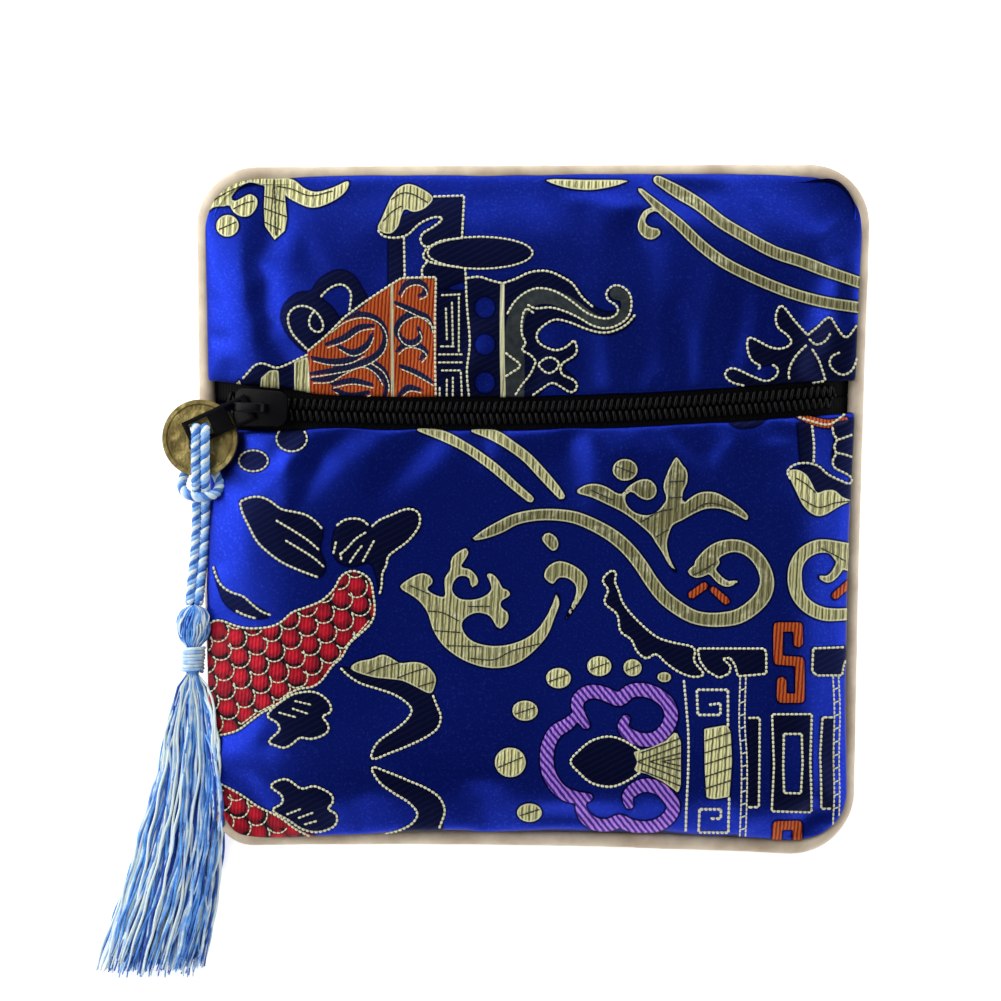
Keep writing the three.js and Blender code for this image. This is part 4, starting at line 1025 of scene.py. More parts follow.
thread("ivory", 771, 713.5, 810.5, 713.5, 809, 760, 811, 811.5, 771, 810, 773, 765, closed=True, sharp=True)
fill("blue", 782.5, 733, 800.5, 733, 801.5, 762, 800, 792.5, 783, 792, 782, 767, sharp=True, outline="ivory")
fill("navy", 821, 717, 833, 717, 833, 808, 821, 808, 819, 755, sharp=True)
thread("ivory", 832.5, 717, 821.5, 717, 819, 755, 821, 808, 831, 808, sharp=True)

# Scales of the carp: rows of round scales, whose free edges face the tail
scale_pitch, scale_row, scale_radius, scale_first = 21.0, 17.0, 10.9, (280, 690)
scale_turn = math.radians(52)
scale_along = np.array([math.cos(scale_turn), math.sin(scale_turn)])
scale_aside = np.array([-scale_along[1], scale_along[0]])
chance = np.random.default_rng(7)
scale_centres = []
for row in range(-12, 13):
    for column in range(-12, 13):
        spot = np.array(scale_first) + scale_along * scale_row * row
        spot = spot + scale_aside * scale_pitch * (column + 0.5 * (row % 2))
        scale_centres.append(spot + chance.uniform(-1.3, 1.3, 2))
scale_centres = np.array(scale_centres)
for spot in scale_centres:
    turn = scale_turn + np.linspace(-1.55, 1.55, 9)
    arc = spot + scale_radius * np.stack([np.cos(turn), np.sin(turn)], 1)
    for body in carp_bodies:
        inside = polygon_depth(arc, body) > 1.0
        if inside.sum() >= 3:
            threads.append(("ivory", arc[inside], 1.9))


def point_normals(piece):
    normals = np.empty(len(piece.data.vertices) * 3)
    piece.data.vertex_normals.foreach_get("vector", normals)
    return normals.reshape(-1, 3)


def weave(piece, to_photo, out_way=1):
    """Writes how deep inside each colour's nearest motif every point of the cloth lies, in millimetres."""
    places = to_photo(point_places(piece))
    reach = 12.0
    depth = {color: np.full(len(places), -reach) for color in float_colors}
    tone_depth = np.full(len(places), -reach)
    tones = np.full(len(places), 0.5)
    for color, tone, line, widths in motifs:
        margin = reach + (0 if widths is None else widths.max() / 2)
        close = np.flatnonzero(((places > line.min(0) - margin) & (places < line.max(0) + margin)).all(1))
        if len(close) == 0:
            continue
        found = polygon_depth(places[close], line) if widths is None else band_depth(places[close], line, widths)
        if color == "blue":
            depth["navy"][close] = np.minimum(depth["navy"][close], -found)
            continue
        if color == "gold":
            deeper = found > tone_depth[close]
            tone_depth[close] = np.where(deeper, found, tone_depth[close])
            tones[close] = np.where(deeper, tone, tones[close])
        depth[color][close] = np.maximum(depth[color][close], found)
    lining = point_normals(piece)[:, 2] * out_way < -0.1
    for color in depth:
        depth[color][lining] = reach if color == "navy" else -reach
    scale = np.full(len(places), 20.0)
    red = np.flatnonzero(depth["red"] > -3)
    if len(red):
        shifted = scale_centres - scale_along * 2.6
        scale[red] = np.sqrt(((places[red][:, None] - shifted[None]) ** 2).sum(2).min(1))
    for color in float_colors:
        write_on(piece, color, np.clip(depth[color], -reach, reach) * pixel / mm)
    write_on(piece, "tone", tones)
    write_on(piece, "scale", scale)
    return np.clip(np.max([depth[color] for color in float_colors], axis=0) / 3 + 0.3, 0, 1)


def photo_places(places):
    return np.stack([places[:, 0] / pixel + photo_origin[0], photo_origin[1] - places[:, 1] / pixel], 1)


float_height = 0.09 * mm
for panel in front_panels:
    raised = weave(panel, photo_places)
    normals = point_normals(panel)
    outer = normals[:, 2] > 0.2
    move_points(panel, point_places(panel) + normals * (raised * outer * float_height)[:, None])


def ribbing(material, turn, pitch, **uneven):
    """Fine ribs in the cloth, pitch apart and turned by some degrees."""
    place = add_node(material, "ShaderNodeTexCoord").outputs["Object"]
    turned = add_node(material, "ShaderNodeMapping", Vector=place, Rotation=(0, 0, math.radians(turn)))
    wave = add_node(material, "ShaderNodeTexWave", Vector=turned.outputs["Vector"], Scale=0.314 / pitch,
                    **uneven)
    return wave.outputs["Fac"]


def brocade_finish(name):
    """Blue satin with the floats laid over it. Every float has its own thread colour, ribs and dark edge."""
    cloth, shader = new_finish(name, (0.03, 0.06, 0.6), 0.33, 0.8, Specular_IOR_Level=0.2)

    def maths(operation, a, b=0.0, c=0.0):
        return node_maths(cloth, operation, a, b, c)

    def step(value, low, high):
        return add_node(cloth, "ShaderNodeMapRange", {"interpolation_type": "SMOOTHSTEP"}, Value=value,
                        From_Min=low, From_Max=high).outputs["Result"]

    def mix(share, a, b):
        a, b = (value if isinstance(value, bpy.types.NodeSocket) else (*value, 1) for value in (a, b))
        return add_node(cloth, "ShaderNodeMix", {"data_type": "RGBA"}, _0=share, _6=a, _7=b).outputs[2]

    def part_mix(share, part, a, b):
        return mix(maths("MULTIPLY", share, part), a, b)

    def ribs(turn, pitch):
        return ribbing(cloth, turn, pitch, Distortion=1.2, Detail=1.0, Detail_Scale=2.0)

    cloudy = grain(cloth, 38.0)
    fine = grain(cloth, 2600.0)
    twill = ribs(38, 0.34 * mm)
    upright = ribs(4, 0.62 * mm)
    slanting = ribs(62, 0.95 * mm)
    steep = ribs(-38, 0.85 * mm)
    shade = mix(cloudy, (0.0037, 0.013, 0.28), (0.010, 0.029, 0.39))
    shade = part_mix(twill, 0.10, shade, (0.05, 0.10, 0.85))
    shade = part_mix(step(fine, 0.50, 0.78), 0.30, shade, (0.06, 0.12, 0.95))
    depths = {color: written(cloth, color) for color in float_colors}
    shares = {color: step(depths[color], -0.05, 0.05) for color in float_colors}
    nearest = depths["gold"]
    for color in float_colors[1:]:
        nearest = maths("MAXIMUM", nearest, depths[color])
    edge = maths("MULTIPLY", step(nearest, -0.50, -0.12), maths("SUBTRACT", 1.0, step(nearest, 0.0, 0.12)))
    shade = part_mix(edge, 0.9, shade, (0.002, 0.002, 0.010))
    purple = mix(step(steep, 0.42, 0.58), (0.055, 0.018, 0.30), (0.50, 0.24, 0.86))
    scale_at = written(cloth, "scale")
    red = mix(step(scale_at, 3.0, 8.0), (0.62, 0.008, 0.028), (0.28, 0.004, 0.016))
    red = part_mix(step(grain(cloth, 190.0), 0.44, 0.62), 0.55, red, (0.16, 0.003, 0.012))
    red = mix(step(scale_at, 8.4, 9.6), red, (0.006, 0.001, 0.008))
    orange = mix(step(upright, 0.25, 0.75), (0.26, 0.020, 0.006), (0.62, 0.13, 0.020))
    grey = mix(grain(cloth, 900.0), (0.016, 0.022, 0.040), (0.12, 0.14, 0.14))
    navy = mix(step(slanting, 0.72, 0.95), (0.0060, 0.0085, 0.043), (0.010, 0.014, 0.070))
    tone = maths("ADD", written(cloth, "tone"), maths("MULTIPLY_ADD", cloudy, 0.5, -0.25))
    gold = part_mix(tone, tone, (0.10, 0.09, 0.035), (1.0, 0.98, 0.48))
    # Near-white yellow specks in the gold are painted glints.
    gold = part_mix(step(grain(cloth, 520.0, 3.0), 0.50, 0.72), 0.55, gold, (0.95, 0.95, 0.62))
    gold = part_mix(step(upright, 0.50, 0.95), 0.60, gold, (0.050, 0.046, 0.016))
    gold = part_mix(step(ribs(3, 1.18 * mm), 0.72, 0.94), 0.70, gold, (0.016, 0.015, 0.007))
    gold_edge = maths("SUBTRACT", 1.0, step(depths["gold"], 0.12, 0.34))
    gold = part_mix(gold_edge, 0.75, gold, (0.80, 0.80, 0.52))
    covered = 0.0
    for color, paint in (("navy", navy), ("grey", grey), ("red", red), ("purple", purple), ("orange", orange),
                         ("gold", gold)):
        share = shares[color]
        if color == "orange":
            share = maths("MULTIPLY", share, maths("SUBTRACT", 1.0, shares["navy"]))
        shade = mix(share, shade, paint)
        covered = maths("MAXIMUM", covered, share)
    bright = maths("MAXIMUM", maths("MAXIMUM", shares["gold"], shares["red"]),
                   maths("MAXIMUM", shares["purple"], shares["orange"]))
    relief = maths("MULTIPLY_ADD", twill, 0.25, maths("MULTIPLY", fine, 0.5))
    floats = maths("MULTIPLY", bright, maths("MULTIPLY_ADD", upright, 1.0, maths("MULTIPLY", slanting, 0.4)))
    set_inputs(cloth, shader, Base_Color=shade, Metallic=maths("MULTIPLY_ADD", bright, -0.72, 0.98),
               Roughness=maths("MULTIPLY_ADD", covered, 0.14, maths("MULTIPLY_ADD", cloudy, 0.05, 0.30)),
               Normal=bump(cloth, 0.42, 0.14 * mm, maths("ADD", relief, floats)))
    return cloth


front_brocade = brocade_finish("front_brocade")
for panel in front_panels:
    dress(panel, front_brocade)

# Outline stitches: ivory floats that draw the motifs, each over three or four threads of the ground, and
# thin dark floats that part the gold.


def cloth_trees(panels):
    return [BVHTree.FromPolygons([v.co for v in p.data.vertices],
                                 [tuple(f.vertices) for f in p.data.polygons])
            for p in panels]


def lay_on(trees, places, way=-1):
    """The outer face of the cloth under each place, or over it for the back, and its normal there."""
    points, normals = [], []
    for x, y in places:
        best = None
        for tree in trees:
            hit, normal, _, _ = tree.ray_cast(Vector((x, y, -way * 0.05)), Vector((0, 0, way)))
            if hit is not None and (best is None or hit.z * -way > best[0].z * -way):
                best = (hit, normal)
        points.append(best[0] if best else None)
        normals.append(best[1] if best else None)
    return points, normals


def stitch_lines(color, trees, to_frame, way=-1):
    """Splits the threads of a colour into stitches: start, end, normal and width of each."""
    found = []
    step = 4.4 if color == "ivory" else 5.0
    gap = 0.12 if color == "ivory" else 0.0
    for kind, line, width in threads:
        if kind != color:
            continue
        spots, _ = even_steps(line, step)
        starts, ends = spots[:-1], spots[1:]
        starts, ends = starts + (ends - starts) * gap / 2, ends - (ends - starts) * gap / 2
        points, normals = lay_on(trees, to_frame(np.vstack([starts, ends])), way)
        half = len(starts)
        for a, b, normal in zip(points[:half], points[half:], normals[:half]):
            if a is not None and b is not None and (a - b).length < 3.2 * mm:
                found.append((a, b, normal, width * pixel))
    return found


def stitch_mesh(name, stitches, rise, sides=4):
    """One mesh of short round stitches that bulge in their middle and dive at both ends."""
    shape = ((0.0, 0.5, 0.35), (0.25, 1.0, 1.0), (0.75, 1.0, 1.0), (1.0, 0.5, 0.35))
    turn = 2 * np.pi * (np.arange(sides) + 0.5) / sides
    points, faces = [], []
    for index, (a, b, normal, width) in enumerate(stitches):
        along = (b - a).normalized()
        up = (normal - along * normal.dot(along)).normalized()
        aside = along.cross(up)
        first = len(points)
        for share, wide, lift in shape:
            middle = a.lerp(b, share) + up * (rise * width * (lift - 0.35))
            points += [middle + aside * (wide * width / 2 * math.cos(t)) + up * (wide * width * 0.32 * math.sin(t))
                       for t in turn]
        for ring in range(len(shape) - 1):
            low = first + ring * sides
            faces += [(low + k, low + sides + k, low + sides + (k + 1) % sides, low + (k + 1) % sides)
                      for k in range(sides)]
        last = first + (len(shape) - 1) * sides
        faces += [tuple(range(first, first + sides)), tuple(range(last + sides - 1, last - 1, -1))]
    mesh = bpy.data.meshes.new(name)
    mesh.from_pydata([tuple(p) for p in points], [], faces)
    mesh.shade_smooth()
    piece = bpy.data.objects.new(name, mesh)
    bpy.context.scene.collection.objects.link(piece)
    return piece


ivory_thread, _ = new_finish("ivory_thread", (0.80, 0.80, 0.56), 0.45, 0.1)
dark_thread, _ = new_finish("dark_thread", (0.012, 0.012, 0.010), 0.6, 0.0)
front_trees = cloth_trees(front_panels)
ivory_stitches = stitch_mesh("ivory_stitches", stitch_lines("ivory", front_trees, from_photo), 0.35)
dress(ivory_stitches, ivory_thread)
dark_stitches = stitch_mesh("dark_stitches", stitch_lines("dark", front_trees, from_photo), 0.2, sides=4)
dress(dark_stitches, dark_thread)

# Back panel: the same brocade in one piece, flat where the pouch rests and lifting to the seam. The pattern
# runs on round the pouch, so the back shows it turned upside down.
back_rows = 60


def back_height(x, y):
    across, up = shares_of(x, y)
    flatness = ease((1 - np.abs(across)) / 0.22) * ease((1 - np.abs(up)) / 0.22)
    return (seam_height - clearance / 2 - panel_wall) * (1 - flatness) + 0.12 * mm * (flatness > 0.999)


back_panel, _, _ = cloth_grid("back_cloth", 56, panel_rows(back_rows, True, True), bottom_rim, top_rim,
                              back_height, leans=False)
back_panel.data.flip_normals()
thicken(back_panel, panel_wall, 1)


def back_photo_places(places):
    places = photo_places(places)
    return np.stack([places[:, 0], 1018 - places[:, 1]], 1)


def from_back_photo(points):
    points = np.asarray(points, float).reshape(-1, 2)
    return from_photo(np.stack([points[:, 0], 1018 - points[:, 1]], 1))


weave(back_panel, back_photo_places, out_way=-1)
dress(back_panel, front_brocade)
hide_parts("back_panel")
back_trees = cloth_trees([back_panel])
back_stitches = stitch_mesh("back_stitches", stitch_lines("ivory", back_trees, from_back_photo, way=1), 0.05,
                            sides=4)
dress(back_stitches, ivory_thread)

# Piping: champagne satin cut on the bias and folded round a cord, sewn into the seam all the way round. Its
# ends lap in a short join at the bottom, right of the middle.


piping_loop = outline_loop(piping_diameter / 2, 60, 14)
piping_line, piping_along = even_steps(np.vstack([piping_loop, piping_loop[:1]]), 1.0 * mm)
torus_radius = 0.055
bpy.ops.object.select_all(action="DESELECT")
bpy.ops.mesh.primitive_torus_add(major_segments=256, minor_segments=20, major_radius=torus_radius,
                                 minor_radius=piping_diameter / 2)
piping = bpy.context.object
piping.name = "satin_piping"
bpy.ops.object.mode_set(mode="EDIT")
bpy.ops.mesh.select_all(action="SELECT")
bpy.ops.mesh.subdivide(number_cuts=1)
bpy.ops.object.mode_set(mode="OBJECT")
ring = point_places(piping)
ring_at = (np.arctan2(ring[:, 1], ring[:, 0]) / (2 * np.pi)) % 1 * piping_along[-1]
ring_turn = np.arctan2(ring[:, 2], np.hypot(ring[:, 0], ring[:, 1]) - torus_radius)
line_way = np.roll(piping_line[:-1], -1, axis=0) - np.roll(piping_line[:-1], 1, axis=0)
line_way = np.vstack([line_way, line_way[:1]]) / np.linalg.norm(line_way[0])
ring_x, ring_y = (np.interp(ring_at, piping_along, piping_line[:, k]) for k in range(2))
way_x, way_y = (np.interp(ring_at, piping_along, line_way[:, k]) for k in range(2))
way_length = np.hypot(way_x, way_y)
join_at = from_photo([662, 846])[0]
join = np.exp(-((np.hypot(ring_x - join_at[0], ring_y - join_at[1]) / (2.4 * mm)) ** 2))
crease = np.array([noise.noise(Vector((x * 420 + 0.9 * math.cos(t), y * 420, 0.9 * math.sin(t) + 40)))
                   for x, y, t in zip(ring_x, ring_y, ring_turn)])
slub = np.array([noise.noise(Vector((x * 90, y * 90, 3 + 0.5 * math.sin(t)))) for x, y,
                 t in zip(ring_x, ring_y, ring_turn)])
ring_radius = piping_diameter / 2 * (0.975 + 0.035 * crease + 0.04 * slub + 0.05 * join)
out = ring_radius * np.cos(ring_turn)
piping.data.vertices.foreach_set("co", np.stack([
    ring_x + out * way_y / way_length, ring_y - out * way_x / way_length, seam_height + ring_radius * np.sin(ring_turn),
], 1).ravel())
piping.data.update()
bpy.ops.object.mode_set(mode="EDIT")
bpy.ops.mesh.select_all(action="SELECT")
bpy.ops.mesh.normals_make_consistent(inside=False)
bpy.ops.object.mode_set(mode="OBJECT")
bpy.ops.object.shade_smooth()
bpy.ops.object.transform_apply(location=True, rotation=True, scale=True)
bias, bias_shader = new_finish("bias_satin", (0.86, 0.76, 0.64), 0.42, 0.0, Specular_IOR_Level=0.5)
bias_place = add_node(bias, "ShaderNodeTexCoord")
bias_turn = add_node(bias, "ShaderNodeMapping", Vector=bias_place.outputs["Object"],
                     Rotation=(0, 0, math.radians(45)))
bias_weave = add_node(bias, "ShaderNodeTexWave", Vector=bias_turn.outputs["Vector"], Scale=0.314 / (0.3 * mm),
                      Distortion=2.0, Detail=2.0)
bias_cloud = add_node(bias, "ShaderNodeTexNoise", Vector=bias_place.outputs["Object"], Scale=160.0,
                      Detail=4.0)
bias_ramp = add_node(bias, "ShaderNodeValToRGB", Fac=bias_cloud.outputs["Fac"])
bias_ramp.color_ramp.elements[0].position, bias_ramp.color_ramp.elements[0].color = 0.3, (0.52, 0.40, 0.28, 1)
bias_ramp.color_ramp.elements[1].position, bias_ramp.color_ramp.elements[1].color = 0.62, (0.80, 0.68, 0.52, 1)
bias.node_tree.links.new(bias_ramp.outputs["Color"], bias_shader.inputs["Base Color"])
bias_height = add_node(bias, "ShaderNodeMath", {"operation": "MULTIPLY_ADD"}, _0=bias_weave.outputs["Fac"],
                       _1=0.35, _2=bias_cloud.outputs["Fac"])
bias_bump = add_node(bias, "ShaderNodeBump", Strength=0.35, Distance=0.00015, Height=bias_height.outputs[0])
bias.node_tree.links.new(bias_bump.outputs["Normal"], bias_shader.inputs["Normal"])
dress(piping, bias)
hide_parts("piping")

# Zipper: two woven black tapes under the cloth, each with a row of nylon coil sewn on. Every turn of the coil
# is one loop of thick nylon with a head that hooks into the other row.
tape_thickness, tape_reach, tape_tail = 0.6 * mm, 8.0 * mm, 2.5 * mm
coil_pitch = 1.12 * mm
coil_wire = 0.62 * mm


def tape_top(x, y):
    return front_height(x, y) - panel_wall - clearance


def coil_base(x, side):
    return tape_top(x, zip_line(x) + side * coil_offset(x)) + clearance


tape_columns, tape_rows = 150, 9
for side, tape_name in ((1, "upper"), (-1, "lower")):
    bpy.ops.object.select_all(action="DESELECT")
    bpy.ops.mesh.primitive_grid_add(x_subdivisions=tape_columns - 1, y_subdivisions=tape_rows - 1, size=1)
    tape = bpy.context.object
    tape.name = f"{tape_name}_tape"
    grid = point_places(tape)
    x = zip_left_end - tape_tail + (zip_right_end - zip_left_end + 2 * tape_tail) * (grid[:, 0] + 0.5)
    near = coil_offset(x) - coil_width / 2
    y = zip_line(x) + side * (near + (tape_reach - near) * (0.5 + side * grid[:, 1]))
    z = tape_top(x, y) - 0.05 * mm * np.cos(2 * np.pi * (grid[:, 0] + 0.5) * tape_columns / 2)
    tape.data.vertices.foreach_set("co", np.stack([x, y, z], 1).ravel())
    thicken(tape, tape_thickness, 0)
    tape_fabric, tape_shader = new_finish(f"{tape_name}_tape_twill", (0.006, 0.006, 0.007), 0.8,
                                          Specular_IOR_Level=0.15)
    tape_place = add_node(tape_fabric, "ShaderNodeTexCoord")
    tape_ribs = add_node(tape_fabric, "ShaderNodeTexWave", Vector=tape_place.outputs["Object"],
                         Scale=0.314 / (0.5 * mm))
    tape_shade = add_node(tape_fabric, "ShaderNodeValToRGB", Fac=tape_ribs.outputs["Fac"])
    tape_shade.color_ramp.elements[0].color = (0.002, 0.002, 0.003, 1)
    tape_shade.color_ramp.elements[1].color = (0.010, 0.010, 0.012, 1)
    tape_fabric.node_tree.links.new(tape_shade.outputs["Color"], tape_shader.inputs["Base Color"])
    tape_bump = add_node(tape_fabric, "ShaderNodeBump", Strength=0.5, Distance=0.00012,
                         Height=tape_ribs.outputs["Fac"])
    tape_fabric.node_tree.links.new(tape_bump.outputs["Normal"], tape_shader.inputs["Normal"])
    dress(tape, tape_fabric)
    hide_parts(f"zipper_tape_{tape_name}")

    turns = int((zip_right_end - zip_left_end) / coil_pitch)
    turn_at = np.arange(turns * 14 + 1) / 14
    turn = 2 * np.pi * turn_at
    x = zip_left_end + coil_wire / 2 + coil_pitch * (turn_at + (0.5 if side > 0 else 0.0)) * (turns - 1) / turns
    level = (coil_thickness - coil_wire) / 2
    inward = np.sign(np.cos(turn)) * np.abs(np.cos(turn)) ** 0.75
    upward = np.sign(np.sin(turn)) * np.abs(np.sin(turn)) ** 0.6
    reach = (coil_width - coil_wire) / 2 + 0.05 * mm
    y = zip_line(x) + side * (coil_offset(x) - reach * inward - 0.16 * mm * (inward > 0) * inward)
    z = coil_base(x, side) + coil_thickness / 2 + level * upward
    wire_radius = coil_wire / 2 * (1 + 0.22 * np.clip(inward, 0, 1) ** 3)
    coil = thread_mesh(f"{tape_name}_coil", [np.stack([x, y, z], 1)], [wire_radius], 8)
    nylon, nylon_shader = new_finish(f"{tape_name}_black_nylon", (0.002, 0.002, 0.003), 0.30,
                                     Specular_IOR_Level=0.16)
    nylon_place = add_node(nylon, "ShaderNodeTexCoord")
    nylon_grain = add_node(nylon, "ShaderNodeTexNoise", Vector=nylon_place.outputs["Object"], Scale=1800.0)
    nylon_bump = add_node(nylon, "ShaderNodeBump", Strength=0.2, Distance=0.00004,
                          Height=nylon_grain.outputs["Fac"])
    nylon.node_tree.links.new(nylon_bump.outputs["Normal"], nylon_shader.inputs["Normal"])
    dress(coil, nylon)
    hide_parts(f"zipper_coil_{tape_name}")

# Slider: a zinc casting with black enamel. Two plates with side walls hold the coil, and an arched crown on
# top holds the pull tab.
enamel, enamel_shader = new_finish("black_enamel", (0.002, 0.002, 0.003), 0.30, 0.0, Specular_IOR_Level=0.14)
enamel_place = add_node(enamel, "ShaderNodeTexCoord")
enamel_grain_and_gleam = add_node(enamel, "ShaderNodeTexNoise", Vector=enamel_place.outputs["Object"], Scale=700.0,
                       Detail=5.0)
# Sharp edges, found by pointiness and broken up by the grain noise, are painted a lighter brown: a painted gleam along
# the edges.
enamel_edge = add_node(enamel, "ShaderNodeNewGeometry")
enamel_gleam_share = add_node(enamel, "ShaderNodeMath", {"operation": "MULTIPLY"},
                        _0=enamel_edge.outputs["Pointiness"], _1=enamel_grain_and_gleam.outputs["Fac"])
enamel_gleam_ramp = add_node(enamel, "ShaderNodeValToRGB", Fac=enamel_gleam_share.outputs[0])
enamel_gleam_ramp.color_ramp.elements[0].position, enamel_gleam_ramp.color_ramp.elements[0].color = 0.40, (0.002, 0.002, 0.003, 1)
enamel_gleam_ramp.color_ramp.elements[1].position, enamel_gleam_ramp.color_ramp.elements[1].color = 0.56, (0.09, 0.075, 0.05, 1)
enamel.node_tree.links.new(enamel_gleam_ramp.outputs["Color"], enamel_shader.inputs["Base Color"])
enamel_bump = add_node(enamel, "ShaderNodeBump", Strength=0.25, Distance=0.00008,
                       Height=enamel_grain_and_gleam.outputs["Fac"])
enamel.node_tree.links.new(enamel_bump.outputs["Normal"], enamel_shader.inputs["Normal"])

slider_plate = 0.9 * mm
crown_length, crown_width, crown_height, crown_wall = 5.4 * mm, 1.6 * mm, 2.7 * mm, 0.8 * mm
slider_floor = -2 * clearance - tape_thickness - slider_plate
slider_top = coil_thickness + clearance + slider_plate
slider_reach = slider_length / 2
slider_away = Vector((
    2 * slider_reach,
    zip_line(slider_x + slider_reach) - zip_line(slider_x - slider_reach),
    coil_base(slider_x + slider_reach, 1) - coil_base(slider_x - slider_reach, 1),
)).normalized()
slider_aside = Vector((0, 0, 1)).cross(slider_away).normalized()
slider_frame = Matrix((slider_away, slider_aside, slider_away.cross(slider_aside))).transposed().to_4x4()
slider_frame.translation = (slider_x, zip_line(slider_x), coil_base(slider_x, 1))


def start_block(name, low, high):
    bpy.ops.object.select_all(action="DESELECT")
    bpy.ops.mesh.primitive_cube_add(size=1)
    block = bpy.context.object
    block.name = name
    size = [b - a for a, b in zip(low, high)]
    middle = [(a + b) / 2 for a, b in zip(low, high)]
    block.data.transform(Matrix.Translation(middle) @ Matrix.Diagonal((*size, 1)))
    return block


def select_faces(piece, chosen):
    bpy.ops.object.mode_set(mode="EDIT")
    bpy.ops.mesh.select_mode(type="FACE")
    bpy.ops.mesh.select_all(action="DESELECT")
    bpy.ops.object.mode_set(mode="OBJECT")
    for face in piece.data.polygons:
        face.select = bool(chosen(face.center, face.normal))
    bpy.ops.object.mode_set(mode="EDIT")


def select_edges(piece, chosen):
    bpy.ops.object.mode_set(mode="EDIT")
    bpy.ops.mesh.select_mode(type="EDGE")
    bpy.ops.mesh.select_all(action="DESELECT")
    bpy.ops.object.mode_set(mode="OBJECT")
    spots = [v.co.copy() for v in piece.data.vertices]
    for edge in piece.data.edges:
        edge.select = bool(chosen(spots[edge.vertices[0]], spots[edge.vertices[1]]))
    bpy.ops.object.mode_set(mode="EDIT")


def round_edges(piece, width, segments=3):
    bpy.context.view_layer.objects.active = piece
    soft = piece.modifiers.new("round", "BEVEL")
    soft.width, soft.segments, soft.limit_method = width, segments, "ANGLE"
    bpy.ops.object.modifier_apply(modifier="round")
    bpy.ops.object.shade_smooth_by_angle(angle=math.radians(40))


slider_parts = []
for plate_name, low, high, wall_way in (
    ("slider_top_plate", slider_top - slider_plate, slider_top, -1),
    ("slider_bottom_plate", slider_floor, slider_floor + slider_plate, 1),
):
    plate = start_block(plate_name, (-slider_reach, -slider_front / 2, low),
                        (slider_reach, slider_front / 2, high))
    for vertex in plate.data.vertices:
        vertex.co.y *= 1 if vertex.co.x < 0 else slider_rear / slider_front
    select_edges(plate, lambda a, b: abs(a.z - b.z) > 0.5 * slider_plate)
    bpy.ops.mesh.bevel(offset=1.5 * mm, segments=5, affect="EDGES")
    select_faces(plate, lambda centre, normal: normal.z * wall_way > 0.9)
    bpy.ops.mesh.inset(thickness=0.6 * mm, depth=0)
    bpy.ops.object.mode_set(mode="OBJECT")
    select_faces(plate, lambda centre, normal: normal.z * wall_way > 0.9 and abs(centre.y) > slider_rear / 2 - 0.7 * mm
                 and abs(centre.x) < 1 * mm)
    bpy.ops.mesh.extrude_region_move(TRANSFORM_OT_translate={"value": (0, 0, wall_way * 0.75 * mm)})
    bpy.ops.object.mode_set(mode="OBJECT")
    round_edges(plate, 0.16 * mm)
    slider_parts.append(plate)
wedge = start_block("slider_wedge", (-slider_reach, -0.9 * mm, slider_floor + 0.5 * mm),
                    (-slider_reach + 2.2 * mm, 0.9 * mm, slider_top - 0.5 * mm))
round_edges(wedge, 0.5 * mm, 4)
slider_parts.append(wedge)
crown_rear = slider_reach - 3.4 * mm
crown_front = crown_rear - crown_length
crown = start_block("slider_crown", (crown_front, -crown_width / 2, slider_top - 0.3 * mm),
                    (crown_front + crown_wall, crown_width / 2, slider_top + crown_height * 0.45))
select_faces(crown, lambda centre, normal: normal.z > 0.9)
arch_radius = crown_height * 0.55
arch_level = slider_top + crown_height - arch_radius
for arch_middle in (crown_front + arch_radius, crown_rear - arch_radius):
    bpy.ops.mesh.spin(steps=6, angle=math.radians(-90), center=(arch_middle, 0, arch_level), axis=(0, 1, 0))
    if arch_middle < crown_rear - arch_radius:
        bpy.ops.mesh.extrude_region_move(TRANSFORM_OT_translate={"value": (crown_length - 2 * arch_radius, 0, 0)})
bpy.ops.mesh.extrude_region_move(TRANSFORM_OT_translate={"value": (0, 0, -crown_height * 0.5)})
bpy.ops.mesh.select_all(action="SELECT")
bpy.ops.mesh.remove_doubles(threshold=0.00002)
bpy.ops.mesh.normals_make_consistent(inside=False)
bpy.ops.object.mode_set(mode="OBJECT")
round_edges(crown, 0.22 * mm)
slider_parts.append(crown)
bpy.ops.object.select_all(action="DESELECT")
for part in slider_parts:
    part.select_set(True)
bpy.context.view_layer.objects.active = slider_parts[0]
bpy.ops.object.join()
slider = bpy.context.object
slider.name = "enamelled_slider"
slider.data.transform(slider_frame)
dress(slider, enamel)
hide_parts("slider_body")

# Pull tab: a flat stamped bar with a window that hooks under the crown and a long hole that holds the cord.
tab_length, tab_width, tab_thickness, tab_bar = 12.15 * mm, 4.6 * mm, 0.8 * mm, 0.9 * mm
tab_window, tab_window_width = 3.2 * mm, 3.5 * mm
tab_tip, tab_hole, tab_hole_width = 0.8 * mm, 3.8 * mm, 3.1 * mm
tab_lean, tab_drop = math.radians(24.5), math.radians(11.5)
tab_end = tab_length - tab_bar / 2
hole_end = tab_end - tab_tip
tab = start_block("enamelled_pull_tab", (-tab_bar / 2, -tab_width / 2, -tab_thickness / 2),
                  (tab_end, tab_width / 2, tab_thickness / 2))
bpy.ops.object.mode_set(mode="EDIT")
for cut in (tab_bar / 2, tab_bar / 2 + tab_window, hole_end - tab_hole, hole_end):
    bpy.ops.mesh.select_all(action="SELECT")
    bpy.ops.mesh.bisect(plane_co=(cut, 0, 0), plane_no=(1, 0, 0))
for cut in (-tab_window_width / 2, -tab_hole_width / 2, tab_hole_width / 2, tab_window_width / 2):
    bpy.ops.mesh.select_all(action="SELECT")
    bpy.ops.mesh.bisect(plane_co=(0, cut, 0), plane_no=(0, 1, 0))
bpy.ops.object.mode_set(mode="OBJECT")


def in_window(centre):
    in_first = tab_bar / 2 < centre.x < tab_bar / 2 + tab_window and abs(centre.y) < tab_window_width / 2
    in_second = hole_end - tab_hole < centre.x < hole_end and abs(centre.y) < tab_hole_width / 2
    return in_first or in_second


